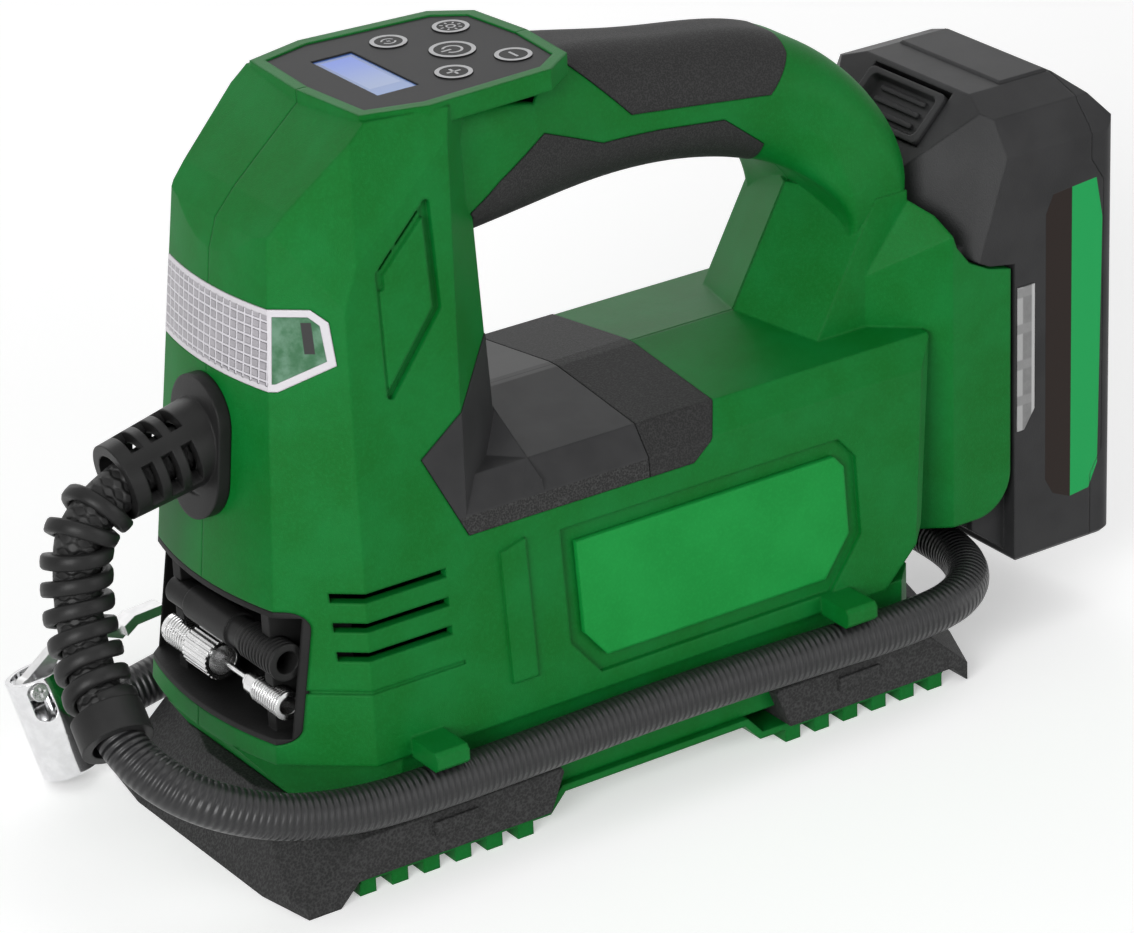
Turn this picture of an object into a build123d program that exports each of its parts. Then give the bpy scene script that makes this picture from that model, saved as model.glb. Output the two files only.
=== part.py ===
"""Portable tire inflator: a cordless compressor with its hose, lever chuck, nozzles and battery pack.

Millimetres, +Z up. X runs from the nose (hose outlet, -X) to the battery (+X), Y across the body.
The body is the same on both sides of Y = 0. It is drawn about the middle of its base, and written out
about the middle of body and battery together, on the floor.
"""
import os
from math import atan2, cos, degrees, pi, radians, sin, tan

from build123d import *

os.makedirs("parts", exist_ok=True)

# ---------------------------------------------------------------- driving sizes
wall = 3.0  # housing shell
seam = 0.1  # half of the gap between the two housing shells
fit = 0.15  # gap between a fixed piece and its seat
play = 0.35  # gap between pieces that move past each other
skin = 1.5  # rubber overmould on the housing

panel_z = 205.6  # face of the display panel
panel_thick = 2.0
lip_wide = 3.6  # lip around the panel
panel_ledge = 2.5  # ledge that the panel rests on
deck_z = 109.0  # ridge of the deck under the handle
hem_z = 36.6  # lower edge of the green side walls
hem_half = 49.9  # half width of the body at the hem
side_draft = 5.62  # degrees, side walls lean in towards the top
core_half = 47.0  # half width below the hem, behind the hose
base_half = 51.5  # half width over the bumpers
sill_z = 11.5  # underside of the body between the feet

nose_x = -111.3  # nose front at the hem
nose_lean = 5.87  # degrees, nose front leans back
nose_bow = 115.0  # radius of the nose front in plan
nose_rear_x = -34.4  # wall of the nose towards the hand gap

handle_half = 18.8  # half width of the grip
foot_front = (-114.5, -34.0)  # front bumper, from its toe to its rear end
foot_rear = (45.0, 115.0)  # rear bumper
tread_thick = 2.0
tooth_pitch = 10.0
tooth_long = 5.0
tooth_count = 6

hose_diam = 12.4
hose_bore = 6.5
guard_diam = 19.0  # spiral guard over the hose
hose_side = 56.0  # distance of the stowed hose from the middle plane
hose_z = 28.9  # height of the stowed hose
outlet_z = 118.0  # axis of the hose outlet at the nose
outlet_droop = 12.0  # degrees, the strain relief hangs down
cage_long = 24.0  # from the nose to the mouth of the slotted strain relief

chuck_r = 8.4
chuck_long = 30.0
button_r = 4.7
power_r = 5.9
button_travel = 0.8

batt_half = 40.2
batt_rear = 171.0
batt_low = 25.0
batt_top = 163.5
batt_side_x = 134.0  # front of the battery's side walls
batt_front = 114.6  # front of the block that sits in the dock
dock_half = 40.2
dock_low = 43.0
cell_r = 9.2
cell_long = 65.0

motor_r = 18.0
motor_z = 64.0
pinion_r = 3.5
gear_r = 20.0
gear_thick = 6.0
crank_throw = 8.0
bore_r = 12.0
shaft_r = 2.5
screw_r = 1.6

pieces = {}


def keep(name, builder):
    """Label a finished piece and remember it for export."""
    part = builder.part if isinstance(builder, BuildPart) else builder
    part.label = name
    pieces[name] = part


def unit(x, y, z):
    return Vector(x, y, z).normalized()


def trim(planes, inset=0.0):
    """Cut the open part back to the inner side of each (point, outward normal), moved in by inset."""
    for point, normal in planes:
        out = unit(*normal)
        split(bisect_by=Plane(origin=Vector(*point) - out * inset, z_dir=out), keep=Keep.BOTTOM)


def both(point, normal):
    """A plane and its mirror image across Y = 0."""
    return [(point, normal), ((point[0], -point[1], point[2]), (normal[0], -normal[1], normal[2]))]


def box_between(low, high):
    """A box given by two opposite corners."""
    with BuildPart() as form:
        with Locations(tuple((a + b) / 2 for a, b in zip(low, high))):
            Box(*[b - a for a, b in zip(low, high)])
    return form.part


# ---------------------------------------------------------------- outer form of the body
side_slope = tan(radians(side_draft))
side_planes = both((0, -hem_half, hem_z), (0, -1, side_slope))


def side_half(z):
    """Half width of the drafted side walls at height z."""
    return hem_half - side_slope * (z - hem_z)


nose_slope = tan(radians(nose_lean))


def nose_front(z):
    """X of the nose front on the middle plane at height z."""
    return nose_x + nose_slope * (z - hem_z)


nose_planes = (
    side_planes
    + [((-70.7, 0, 201.5), (-0.6646, 0, 0.7472))]
    + [((-89.9, 0, 184.4), (-0.749, 0, 0.662)), ((-95.8, 0, 177.7), (-0.955, 0, 0.295))]
    + both((-81.4, -37.7, 160), (-0.648, -0.755, 0.1033))
    + both((-94.5, -26, 174), (-0.449, -0.8475, 0.282))
    + both((-75.0, -36.5, 172), (-0.150, -0.953, 0.263))
    + both((nose_rear_x - 1.6, -26, 196), (0.632, -0.774, 0.036))
    + [((nose_rear_x, 0, 167), (0.9983, 0, 0.0576))]
)


def nose_form(low, high, inset=0.0):
    """The faceted nose between two heights, shrunk by inset."""
    front_dir = unit(nose_slope, 0, 1)
    bow_at = Vector(nose_front(110) + nose_bow + inset, 0, 110)
    with BuildPart() as form:
        with Locations((-70, 0, (low + high) / 2)):
            Box(110, 110, high - low)
        trim(nose_planes, inset)
        with BuildSketch(Plane(origin=bow_at, x_dir=(0, 1, 0), z_dir=front_dir)):
            Circle(nose_bow)
        extrude(amount=150, both=True, mode=Mode.INTERSECT)
    return form.part


deck_rear = [(104.0, 99.0), (96.3, 51.0)]  # slanted rear end of the deck block, as (x, z)
deck_planes = (
    side_planes
    + both((0, 0, deck_z), (0, -0.1244, 0.9922))
    + both((0, -38.0, deck_z - 4.75), (0, -0.787, 0.617))
    + both((deck_rear[0][0] - 6, -44.0, 99.0), (0.62, -0.78, 0))
    + [((deck_rear[0][0], 0, deck_rear[0][1]), (0.9874, 0, -0.1584))]
    + [((96.3, 0, 51.0), (0.667, 0, -0.745))]
)


def deck_form(low, inset=0.0):
    """The low body under the hand gap, from the nose to the battery dock."""
    with BuildPart() as form:
        with Locations((18, 0, (low + deck_z) / 2)):
            Box(180, 110, deck_z - low)
        trim(deck_planes, inset)
    return form.part


cheek_at = (-29.0, -38.0, 104.3)  # where the cheek, the deck's top and its side bevel meet
ramp_planes = (
    side_planes
    + both(cheek_at, (-0.377, -0.577, 0.726))
    + [(cheek_at, (0.9925, 0, 0.1224))]
)


def ramp_form(inset=0.0):
    """The cheeks that flare from the nose's rear edges down to the deck."""
    with BuildPart() as form:
        with Locations((-45, 0, 114)):
            Box(60, 110, 52)
        trim(ramp_planes, inset)
    return form.part


# Stations of the handle and its rear post: centre x, centre z, tilt, height, width, corner radius.
# Tilt is the angle of the section's normal below +X, in degrees.
handle_stations = [
    (-44.0, 183.4, 0, 40.0, 60.0, 13.0),
    (-22.0, 183.4, 0, 39.8, 54.0, 14.0),
    (0.0, 182.8, 2, 39.4, 44.5, 15.0),
    (20.0, 181.3, 4, 37.0, 2 * handle_half + 1, 15.5),
    (50.0, 177.7, 8, 34.8, 2 * handle_half, 15.5),
    (74.0, 171.6, 22, 35.0, 2 * handle_half + 0.6, 14.5),
    (90.0, 160.0, 54, 30.0, 46.0, 9.5),
    (97.3, 142.5, 84, 21.0, 53.6, 3.5),
    (95.5, 128.0, 92, 19.0, 48.0, 3.5),
]
post_half = 27.0  # half width of the post behind the hand gap
post_rear = 106.5
post_foot = (66.1, 109.6)  # foot of the post's front ridge, as (x, z)
post_top = 142.5
post_planes = both((post_foot[0], 0, post_foot[1]), (-0.821, -0.341, 0.459))


def handle_form(inset=0.0, stations=handle_stations):
    """The grip, one smooth loft that ends inside the post."""
    with BuildPart() as form:
        for x, z, tilt, high, wide, corner in stations:
            out = Vector(cos(radians(tilt)), 0, -sin(radians(tilt)))
            with BuildSketch(Plane(origin=(x, 0, z), x_dir=(0, 1, 0), z_dir=out)):
                RectangleRounded(wide - 2 * inset, high - 2 * inset, corner - min(inset, corner - 1))
        loft()
    return form.part


def post_form(inset=0.0):
    """The flat-sided post that carries the rear of the grip, with a ridged front."""
    with BuildPart() as form:
        add(box_between((50, inset - post_half, 96), (post_rear - inset, post_half - inset, post_top - inset)))
        trim(post_planes, inset)
    return form.part


dock_planes = (
    both((112.0, -dock_half, 90), (-0.545, -0.838, 0))
    + both((0, -dock_half, 90), (0, -1, 0))
    + both((94.3, -post_half, 124), (-0.636, -0.572, 0.517))
)
# Side view of the dock, as (x, z): floor, rounded rear corner and the top edge that meets the battery.
dock_outline = [(86, dock_low), (batt_side_x - 1.5, dock_low), (batt_side_x - 1.5, 116.5)]
dock_top = [(125, 118.3), (118, 121.8), (113.5, 127.5), (110.5, 136.0), (104, 142.0), (86, 142.0)]


def dock_form(inset=0.0):
    with BuildPart() as form:
        with BuildSketch(Plane.XZ):
            with BuildLine():
                Polyline(*dock_outline, *dock_top, close=True)
            make_face()
            rear_low = vertices().filter_by_position(Axis.X, 130, 136).sort_by(Axis.Y)[0]
            fillet(rear_low, 12)
        extrude(amount=60, both=True)
        trim(dock_planes, inset)
    return form.part


core_front = both((-81.4, -37.7, 160), (-0.648, -0.755, 0.1033))


def core_form(low, inset=0.0):
    """The narrower body below the hem: the hose lies against it."""
    with BuildPart() as form:
        with Locations((0, 0, (low + hem_z) / 2)):
            Box(240, 2 * (core_half - inset), hem_z - low)
        trim([((-99.0, 0, 21.3), (-0.79, 0, -0.61)), ((95.5, 0, 30), (1, 0, 0))], inset)
        trim(core_front, 8.5 + inset)
        trim(both((88, -core_half, 30), (0.7, -0.7, 0)), inset)
    return form.part


# Lip around the display panel, in plan.
panel_outline = [(-66, 0), (-64, 24), (-49, 28.3), (-12, 26), (-4, 20), (-2, 0)]


def mirrored(points):
    """A closed outline from points on the +Y side, mirrored across Y = 0."""
    return points + [(x, -y) for x, y in reversed(points[1:-1])]


def plan_prism(outline, grow, low, high):
    with BuildPart() as form:
        with BuildSketch(Plane.XY.offset(low)):
            with BuildLine():
                Polyline(*mirrored(outline), close=True)
            make_face()
            if grow:
                offset(amount=grow, kind=Kind.INTERSECTION)
        extrude(amount=high - low)
    return form.part


def side_prism(outline, grow=0.0, reach=70.0):
    """A side-view outline (x, z) extruded across the whole body."""
    with BuildPart() as form:
        with BuildSketch(Plane.XZ):
            with BuildLine():
                Polyline(*outline, close=True)
            make_face()
            if grow:
                offset(amount=grow, kind=Kind.INTERSECTION)
        extrude(amount=reach, both=True)
    return form.part


lip = plan_prism(panel_outline, lip_wide, panel_z - 5.5, panel_z + 0.4)
nose = nose_form(hem_z, panel_z - 1.0)
deck = deck_form(hem_z)
ramp = ramp_form()
handle = handle_form()
post = post_form()
dock = dock_form()
core = core_form(sill_z)

with BuildPart() as body_form:
    add(nose)
    add(lip)
    add(deck)
    add(ramp)
    add(handle)
    add(post)
    add(dock)
    add(core)

print("body volume", round(body_form.part.volume / 1000), "cm3, solids", len(body_form.part.solids()))


def skin_region(outline, outer_inset, inner_inset, forms, grow=0.0):
    """The layer of the body between two insets that lies inside a side-view outline."""
    with BuildPart() as inside:
        for form in forms:
            add(form(inner_inset))
    with BuildPart() as region:
        for form in forms:
            add(form(outer_inset))
        add(inside.part, mode=Mode.SUBTRACT)
        add(side_prism(outline, grow), mode=Mode.INTERSECT)
    return region.part


def engraved(path, width, deep):
    """A round-ended groove in the nose's side walls along a side-view path, as (x, z) points."""
    with BuildPart() as groove:
        for (x0, z0), (x1, z1) in zip(path, path[1:]):
            with BuildSketch(Plane.XZ):
                with Locations(((x0 + x1) / 2, (z0 + z1) / 2)):
                    run = Vector(x1 - x0, z1 - z0)
                    SlotCenterToCenter(run.length, width, rotation=degrees(atan2(run.Y, run.X)))
            extrude(amount=70, both=True)
        add(nose_whole(deep), mode=Mode.SUBTRACT)
        add(nose_whole(outer_reach), mode=Mode.INTERSECT)
    return groove.part


def nose_whole(inset):
    return nose_form(hem_z + inset, panel_z - 1 - inset, inset)


def deck_whole(inset):
    return deck_form(hem_z + inset, inset)


def rod(start, end, radius, inner=0.0):
    """A round bar, or a tube, from one point to another."""
    run = Vector(*end) - Vector(*start)
    with BuildPart() as form:
        with BuildSketch(Plane(origin=start, z_dir=run)):
            Circle(radius)
            if inner:
                Circle(inner, mode=Mode.SUBTRACT)
        extrude(amount=run.length)
    return form.part


body_forms = [nose_whole, deck_whole, ramp_form]
proud = 0.25  # how far overmoulds and plates stand out of the housing
recess_deep = 1.7
outer_reach = -4.0  # inset that lies well outside every surface

# Side-view outlines, as (x, z).
cover_outline = [(-33, 137), (-64, 115.2), (-52, 91), (20, 91), (26, 95.5), (31.2, 104), (31.2, 115), (0, 140)]
cover_joint_x = 5.7
badge_outline = [(-19.5, 80), (66, 80), (69, 76.5), (69, 57), (60, 46), (-13, 46), (-19.5, 54)]
badge_channel = 4.5
lens_low = 138.3
lens_high = 160.3
lens_outline = [
    (-118, lens_high), (-88, lens_high), (-84.7, 157), (-84.2, 145.5), (-96.5, lens_low), (-118, lens_low),
]
lens_thick = 2.2
diamond_channel = [(-54.6, 181.5), (-54.3, 154.0), (-70.4, 134.8)]
diamond_vents = [[(-57.2, 180.0), (-64.1, 173.5)], [(-65.9, 171.8), (-69.6, 168.2)]]
diamond_flute = [(-54.6, 181.5), (-70.2, 166.8), (-70.2, 163.5)]
diamond_crease = [(-71.0, 163.5), (-71.4, 136.0)]
rib_outline = [(-43.5, 84), (-35.5, 86), (-35.5, 47), (-43.5, 47)]
top_grip_outline = [(-4, 207), (0.5, 203), (21, 182.8), (67, 177.3), (76, 186), (80, 200), (60, 215), (0, 215)]
under_grip_outline = [
    (-38, 145), (-38, 170), (-26.6, 178.4), (-10.5, 187.0), (11, 177.7), (30, 176.4), (51.5, 174),
    (66, 163), (67, 148),
]
groove_z = 57.0
groove_outline = [(-118, groove_z + 0.5), (-57, groove_z + 0.5), (-57, groove_z - 0.5), (-118, groove_z - 0.5)]
vent_rows = [67.0, 75.0, 83.0]
nook_low = 42.0
nook_high = 79.0
nook_half = 36.5
nook_back = -84.0
nook_corner = 5.0
neck_r = 8.8
dock_room = 35.5  # half width of the battery's front block
base_screw_places = [(-66.5, -35), (-66.5, 35), (73, -35), (73, 35)]
screw_places = [(-62, 170), (-66, 100), (-30, 50), (30, 93), (60, 26), (50, 177.7)]
boss_r = 4.0
screw_head_r = 3.0


def boss_end(x, z):
    """Where a screw boss meets the outer wall."""
    if z < hem_z:
        return core_half - 1.5
    if z > 160 and x > nose_rear_x:
        return handle_half - 3.0
    return side_half(z) - 3.2


# ---------------------------------------------------------------- housing shells
with BuildPart() as hollow:
    add(nose_form(hem_z + wall, panel_z - 1 - wall, wall))
    add(deck_form(hem_z + wall, wall))
    add(core_form(sill_z + wall, wall))
    add(box_between((76, -60, hem_z - wall), (100, 60, hem_z + 0.01)), mode=Mode.SUBTRACT)
    add(box_between((-70, 6 - core_half, hem_z - 1), (75, core_half - 6, hem_z + wall + 1)))
    add(box_between((68, -20, 52), (108, 20, 88)))
    add(handle_form(wall + 0.5, handle_stations[:-1]))
    add(post_form(wall + 0.5))
    add(plan_prism(panel_outline, -panel_ledge, panel_z - 12, panel_z + 5))

with BuildPart() as tabs:
    for x in (-71.0, 63.0):
        add(box_between((x - 5, -62, 35.9), (x + 5, 0.5 - core_half, 41.5)))
    chamfer(edges().filter_by(Axis.X), 1.2)

with BuildPart() as bosses:
    for x, z in screw_places:
        add(rod((x, -boss_end(x, z), z), (x, -seam, z), boss_r))

with BuildPart() as nook_cut:
    add(box_between((-120, -nook_half, nook_low), (nook_back, nook_half, nook_high)))
    fillet(edges().filter_by(Axis.X), nook_corner)

# The dock is a sleeve, open at the top, the bottom and the rear; two rails carry the battery.
dock_front = batt_front - play - 0.25
rail_x = (118.0, 122.0)
rail_z = (50.0, 112.0)
rail_deep = 2.5
terminal_half = 13.0
terminal_z = (62.0, 84.0)
with BuildPart() as dock_cut:
    add(box_between((dock_front, -dock_room - play, 20), (140, dock_room + play, 150)))
    for side in (-1, 1):
        inner, outer = sorted((side * (dock_room + play - rail_deep), side * (dock_room + 2)))
        add(box_between((rail_x[0], inner, rail_z[0]), (rail_x[1], outer, rail_z[1])), mode=Mode.SUBTRACT)
    window = terminal_half + fit
    add(box_between((100, -window, terminal_z[0] - fit), (120, window, terminal_z[1] + fit)))

with BuildPart() as grip_seats:
    add(skin_region(top_grip_outline, outer_reach, skin + fit, [handle_form]))
    add(skin_region(under_grip_outline, outer_reach, skin + fit, [handle_form]))
    add(nose, mode=Mode.SUBTRACT)
    add(lip, mode=Mode.SUBTRACT)

with BuildPart() as housing_left:
    add(body_form.part)
    split(bisect_by=Plane(origin=(0, -seam, 0), z_dir=(0, 1, 0)), keep=Keep.BOTTOM)
    add(tabs.part)
    add(skin_region(rib_outline, -1.0, 0.5, [deck_whole, nose_whole]))
    split(bisect_by=Plane(origin=(0, -seam, 0), z_dir=(0, 1, 0)), keep=Keep.BOTTOM)
    add(hollow.part, mode=Mode.SUBTRACT)
    add(bosses.part)
    add(plan_prism(panel_outline, fit, panel_z - panel_thick, panel_z + 5), mode=Mode.SUBTRACT)
    add(skin_region(cover_outline, outer_reach, skin + fit, body_forms), mode=Mode.SUBTRACT)
    add(skin_region(badge_outline, outer_reach, recess_deep, [deck_whole], badge_channel), mode=Mode.SUBTRACT)
    add(skin_region(lens_outline, outer_reach, lens_thick + fit, [nose_whole]), mode=Mode.SUBTRACT)
    add(skin_region(lens_outline, outer_reach, wall + 1, [nose_whole], -4.0), mode=Mode.SUBTRACT)
    add(engraved(diamond_channel, 2.8, 2.0), mode=Mode.SUBTRACT)
    add(engraved(diamond_flute, 2.4, 1.0), mode=Mode.SUBTRACT)
    add(engraved(diamond_crease, 0.8, 0.4), mode=Mode.SUBTRACT)
    for vent in diamond_vents:
        add(engraved(vent, 1.3, wall + 1), mode=Mode.SUBTRACT)
    add(skin_region(groove_outline, outer_reach, 0.6, [nose_whole]), mode=Mode.SUBTRACT)
    add(grip_seats.part, mode=Mode.SUBTRACT)
    for z in vent_rows:
        add(box_between((-92, -70, z - 1.3), (-60, -20, z + 1.3)), mode=Mode.SUBTRACT)
    add(nook_cut.part, mode=Mode.SUBTRACT)
    add(rod((-118, 0, outlet_z), (-80, 0, outlet_z), neck_r + fit), mode=Mode.SUBTRACT)
    add(dock_cut.part, mode=Mode.SUBTRACT)
    for x, z in screw_places:
        add(rod((x, -boss_end(x, z) + 2, z), (x, 1, z), screw_r + 0.03), mode=Mode.SUBTRACT)
    for x, y in base_screw_places:
        add(rod((x, y, 0), (x, y, sill_z + wall + 5), screw_r + 0.03), mode=Mode.SUBTRACT)
    split(bisect_by=Plane(origin=(0, -seam, 0), z_dir=(0, 1, 0)), keep=Keep.BOTTOM)
print("shell", round(housing_left.part.volume / 1000), "cm3, solids", len(housing_left.part.solids()))

with BuildPart() as housing_right:
    mirror(housing_left.part, about=Plane.XZ)
    for x, z in screw_places:
        add(rod((x, 0, z), (x, 70, z), screw_r + 0.1), mode=Mode.SUBTRACT)
        add(rod((x, boss_end(x, z) - 8, z), (x, 70, z), screw_head_r + 0.2), mode=Mode.SUBTRACT)
keep("housing_left", housing_left)
keep("housing_right", housing_right)

with BuildPart() as shell_screws:
    for x, z in screw_places:
        head_y = boss_end(x, z) - 8
        add(rod((x, 4.5 - boss_end(x, z), z), (x, head_y + 0.5, z), screw_r))
        add(rod((x, head_y, z), (x, head_y + 2.2, z), screw_head_r))
keep("shell_screws", shell_screws)


# ---------------------------------------------------------------- overmoulds, plates and lens
def grip_piece(outline):
    """A rubber overmould on the handle, clear of the nose and the panel lip."""
    with BuildPart() as grip:
        add(skin_region(outline, -proud, skin, [handle_form], -fit))
        add(nose_form(150, panel_z, -fit), mode=Mode.SUBTRACT)
        add(plan_prism(panel_outline, lip_wide + fit, panel_z - 7, panel_z + 4), mode=Mode.SUBTRACT)
    return grip.part


keep("grip_top", grip_piece(top_grip_outline))
keep("grip_under", grip_piece(under_grip_outline))

cover = skin_region(cover_outline, -proud, skin, body_forms, -fit)
with BuildPart() as saddle_cover:
    add(cover)
    split(bisect_by=Plane(origin=(cover_joint_x - fit, 0, 0), z_dir=(1, 0, 0)), keep=Keep.BOTTOM)
with BuildPart() as saddle_pad:
    add(cover)
    split(bisect_by=Plane(origin=(cover_joint_x + fit, 0, 0), z_dir=(-1, 0, 0)), keep=Keep.BOTTOM)
keep("saddle_cover", saddle_cover)
keep("saddle_pad", saddle_pad)

badges = skin_region(badge_outline, -proud, recess_deep - fit, [deck_whole])
with BuildPart() as badge_left:
    add(badges)
    split(bisect_by=Plane.XZ, keep=Keep.TOP)
with BuildPart() as badge_right:
    add(badges)
    split(bisect_by=Plane.XZ, keep=Keep.BOTTOM)
keep("badge_left", badge_left)
keep("badge_right", badge_right)
keep("lamp_lens", skin_region(lens_outline, -0.1, lens_thick, [nose_whole], -fit))

led_board_x = -91.0
with BuildPart() as lamp_board:
    add(box_between((led_board_x, -22, lens_low + 3), (led_board_x + 1.6, 22, lens_high - 3)))
    for y in (-17, -6, 6, 17):
        add(box_between((led_board_x - 1.2, y - 1.8, 147.2), (led_board_x, y + 1.8, 150.8)))
keep("lamp_board", lamp_board)

# ---------------------------------------------------------------- display panel and buttons
button_places = {
    "button_power": (-21.8, 0.0, power_r),
    "button_unit": (-31.4, 16.0, button_r),
    "button_lamp": (-12.3, 15.4, button_r),
    "button_minus": (-11.7, -13.5, button_r),
    "button_plus": (-30.9, -14.6, button_r),
}
screen_x = (-55.1, -42.8)
screen_half = 16.2
button_gap = 0.3
button_flange = 0.9
board_top = panel_z - 8.0
stem_r = 2.0
button_low = panel_z - panel_thick - 2.0

with BuildPart() as display_panel:
    add(plan_prism(panel_outline, 0, panel_z - panel_thick, panel_z))
    for x, y, radius in button_places.values():
        add(rod((x, y, panel_z - 5), (x, y, panel_z + 5), radius + button_gap), mode=Mode.SUBTRACT)
    glass_low = (screen_x[0] - fit, -screen_half - fit, panel_z - 5)
    add(box_between(glass_low, (screen_x[1] + fit, screen_half + fit, panel_z + 5)), mode=Mode.SUBTRACT)
keep("display_panel", display_panel)

with BuildPart() as display_screen:
    add(box_between((screen_x[0], -screen_half, board_top + 0.1), (screen_x[1], screen_half, panel_z - 0.4)))
keep("display_screen", display_screen)

for name, (x, y, radius) in button_places.items():
    with BuildPart() as button:
        add(rod((x, y, button_low), (x, y, panel_z + 0.3), radius))
        fillet(edges().group_by(Axis.Z)[-1], 0.4)
        add(rod((x, y, button_low), (x, y, panel_z - panel_thick - 0.3), radius + button_flange))
        add(rod((x, y, button_low - 1.0), (x, y, button_low), stem_r))
    keep(name, button)

with BuildPart() as control_board:
    add(plan_prism(panel_outline, -5.5, board_top - 1.6, board_top))
    for x, y, radius in button_places.values():
        switch_top = button_low - 1.0 - button_travel - fit
        add(box_between((x - 3, y - 3, board_top), (x + 3, y + 3, switch_top)))
keep("control_board", control_board)

# ---------------------------------------------------------------- bumpers and tread plate
bumper_high = 21.3
bumper_low = 6.0
peg_out = 1.0
front_bumper_outline = [
    (foot_front[0], 0), (-103.4, bumper_high - 0.5), (-99, bumper_high), (foot_front[1] + 2, bumper_high),
    (foot_front[1] + 4, 17), (foot_front[1] - 0.5, bumper_low), (-95.5, bumper_low), (-101.5, 0),
]
rear_bumper_outline = [
    (foot_rear[1], 0), (foot_rear[1] + 0.2, 4), (109.5, bumper_high - 0.5), (104, bumper_high),
    (foot_rear[0] - 2, bumper_high), (foot_rear[0] - 4, 17), (foot_rear[0] + 0.5, bumper_low),
    (102.5, bumper_low), (108.5, 0),
]
front_facets = both((-105.4, -32.6, 13.2), (-0.653, -0.205, 0.729)) + both((-114.5, -33, 0), (-0.985, -0.17, 0))
rear_facets = both((107.5, -32.6, 15.5), (0.640, -0.33, 0.69)) + both((115.0, -33, 0), (0.93, -0.36, 0))


def bumper(outline, facets, peg_x):
    with BuildPart() as form:
        with BuildSketch(Plane.XZ):
            with BuildLine():
                Polyline(*outline, close=True)
            make_face()
        extrude(amount=base_half, both=True)
        trim(facets)
        trim(both((0, -base_half, bumper_high - 3.2), (0, -0.6, 0.8)))
        add(core_form(sill_z, -fit), mode=Mode.SUBTRACT)
        peg_low = (peg_x - 7, -base_half - peg_out, 12)
        add(box_between(peg_low, (peg_x + 7, -core_half - 1, 16)))
        add(box_between((peg_x - 7, core_half + 1, 12), (peg_x + 7, base_half + peg_out, 16)))
    return form.part


front_bumper = bumper(front_bumper_outline, front_facets, -65.0)
rear_bumper = bumper(rear_bumper_outline, rear_facets, 69.0)
with BuildPart() as bumper_front:
    add(front_bumper)
    for x, y in base_screw_places:
        add(rod((x, y, 0), (x, y, 20), screw_r + 0.1), mode=Mode.SUBTRACT)
with BuildPart() as bumper_rear:
    add(rear_bumper)
    for x, y in base_screw_places:
        add(rod((x, y, 0), (x, y, 20), screw_r + 0.1), mode=Mode.SUBTRACT)
keep("bumper_front", bumper_front)
keep("bumper_rear", bumper_rear)

plate_top = bumper_low - fit
plate_low = plate_top - tread_thick
plate_mid = sill_z - fit
plate_half = 49.0
tooth_first = -91.5
tooth_second = 48.0
with BuildPart() as tread_plate:
    with BuildSketch(Plane.XZ):
        with BuildLine():
            Polyline(
                (-95.5, plate_top), (-34.2, plate_top), (-29.2, plate_mid), (32.8, plate_mid), (37.8, plate_top),
                (102.5, plate_top), (100.5, plate_low), (36.8, plate_low), (31.8, plate_mid - tread_thick),
                (-28.2, plate_mid - tread_thick), (-33.2, plate_low), (-93.5, plate_low), close=True)
        make_face()
    extrude(amount=plate_half, both=True)
    for start in (tooth_first, tooth_second):
        for i in range(tooth_count):
            x = start + tooth_pitch * i
            add(box_between((x - tooth_long / 2, -plate_half, 0), (x + tooth_long / 2, plate_half, plate_low)))
    for x, y in base_screw_places:
        add(rod((x, y, 0), (x, y, 20), screw_r + 0.1), mode=Mode.SUBTRACT)
        add(rod((x, y, plate_low - 1), (x, y, plate_low + 1.2), 2.45), mode=Mode.SUBTRACT)
keep("tread_plate", tread_plate)

with BuildPart() as base_screws:
    for x, y in base_screw_places:
        add(rod((x, y, plate_low + 0.3), (x, y, sill_z + wall), screw_r))
        add(rod((x, y, plate_low + 0.1), (x, y, plate_low + 1.2), 2.3))
keep("base_screws", base_screws)

# ---------------------------------------------------------------- nozzle pocket and what it stores
stow_x = -102.5
stow_high = 65.5  # axis of the taper nozzle
stow_low = 52.5  # axis of the valve adapter and the ball needle
cone_r = 5.2
adapter_r = 5.6
needle_r = 4.0
liner_wall = 1.6
arm_y = (-26.0, 20.0)
arm_half = 2.0

with BuildPart() as nook_liner:
    add(box_between((-120, fit - nook_half, nook_low + fit), (nook_back - fit, nook_half - fit, nook_high - fit)))
    fillet(edges().filter_by(Axis.X), nook_corner - fit)
    back = nook_back - fit - liner_wall
    room = nook_half - fit - liner_wall
    low = nook_low + fit + liner_wall
    high = nook_high - fit - liner_wall
    add(box_between((-121, -room, low), (back, room, high)), mode=Mode.SUBTRACT)
    for y in arm_y:
        add(box_between((stow_x - 1.5, y - arm_half, low - 0.5), (back + 0.5, y + arm_half, high + 0.5)))
    add(nose_form(nook_low - 5, nook_high + 5, 0.0), mode=Mode.INTERSECT)
    near, far = arm_y[0], arm_y[1]
    high_stems = [(near, stow_high, cone_r), (far, stow_high, 4.2)]
    low_stems = [(near, stow_low, needle_r), (far, stow_low, adapter_r)]
    for y, z, radius in high_stems + low_stems:
        reach = radius + 0.3
        add(rod((stow_x, y - 3, z), (stow_x, y + 3, z), reach), mode=Mode.SUBTRACT)
        add(box_between((stow_x - 20, y - 3, z - reach), (stow_x, y + 3, z + reach)), mode=Mode.SUBTRACT)
keep("nook_liner", nook_liner)


def turned(x, z, sections):
    """A turned piece along Y: a list of (start, end, radius, bore radius)."""
    with BuildPart() as form:
        for start, end, radius, hole in sections:
            add(rod((x, start, z), (x, end, z), radius))
        for start, end, radius, hole in sections:
            if hole:
                add(rod((x, start, z), (x, end, z), hole), mode=Mode.SUBTRACT)
    return form.part


def thread_rings(start, end, pitch, radius):
    """Ring grooves of a thread, as (start, end, radius, bore) sections."""
    count = int((end - start) / pitch)
    return [(start + pitch * i, start + pitch * (i + 0.55), radius, 0) for i in range(count)]


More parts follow.
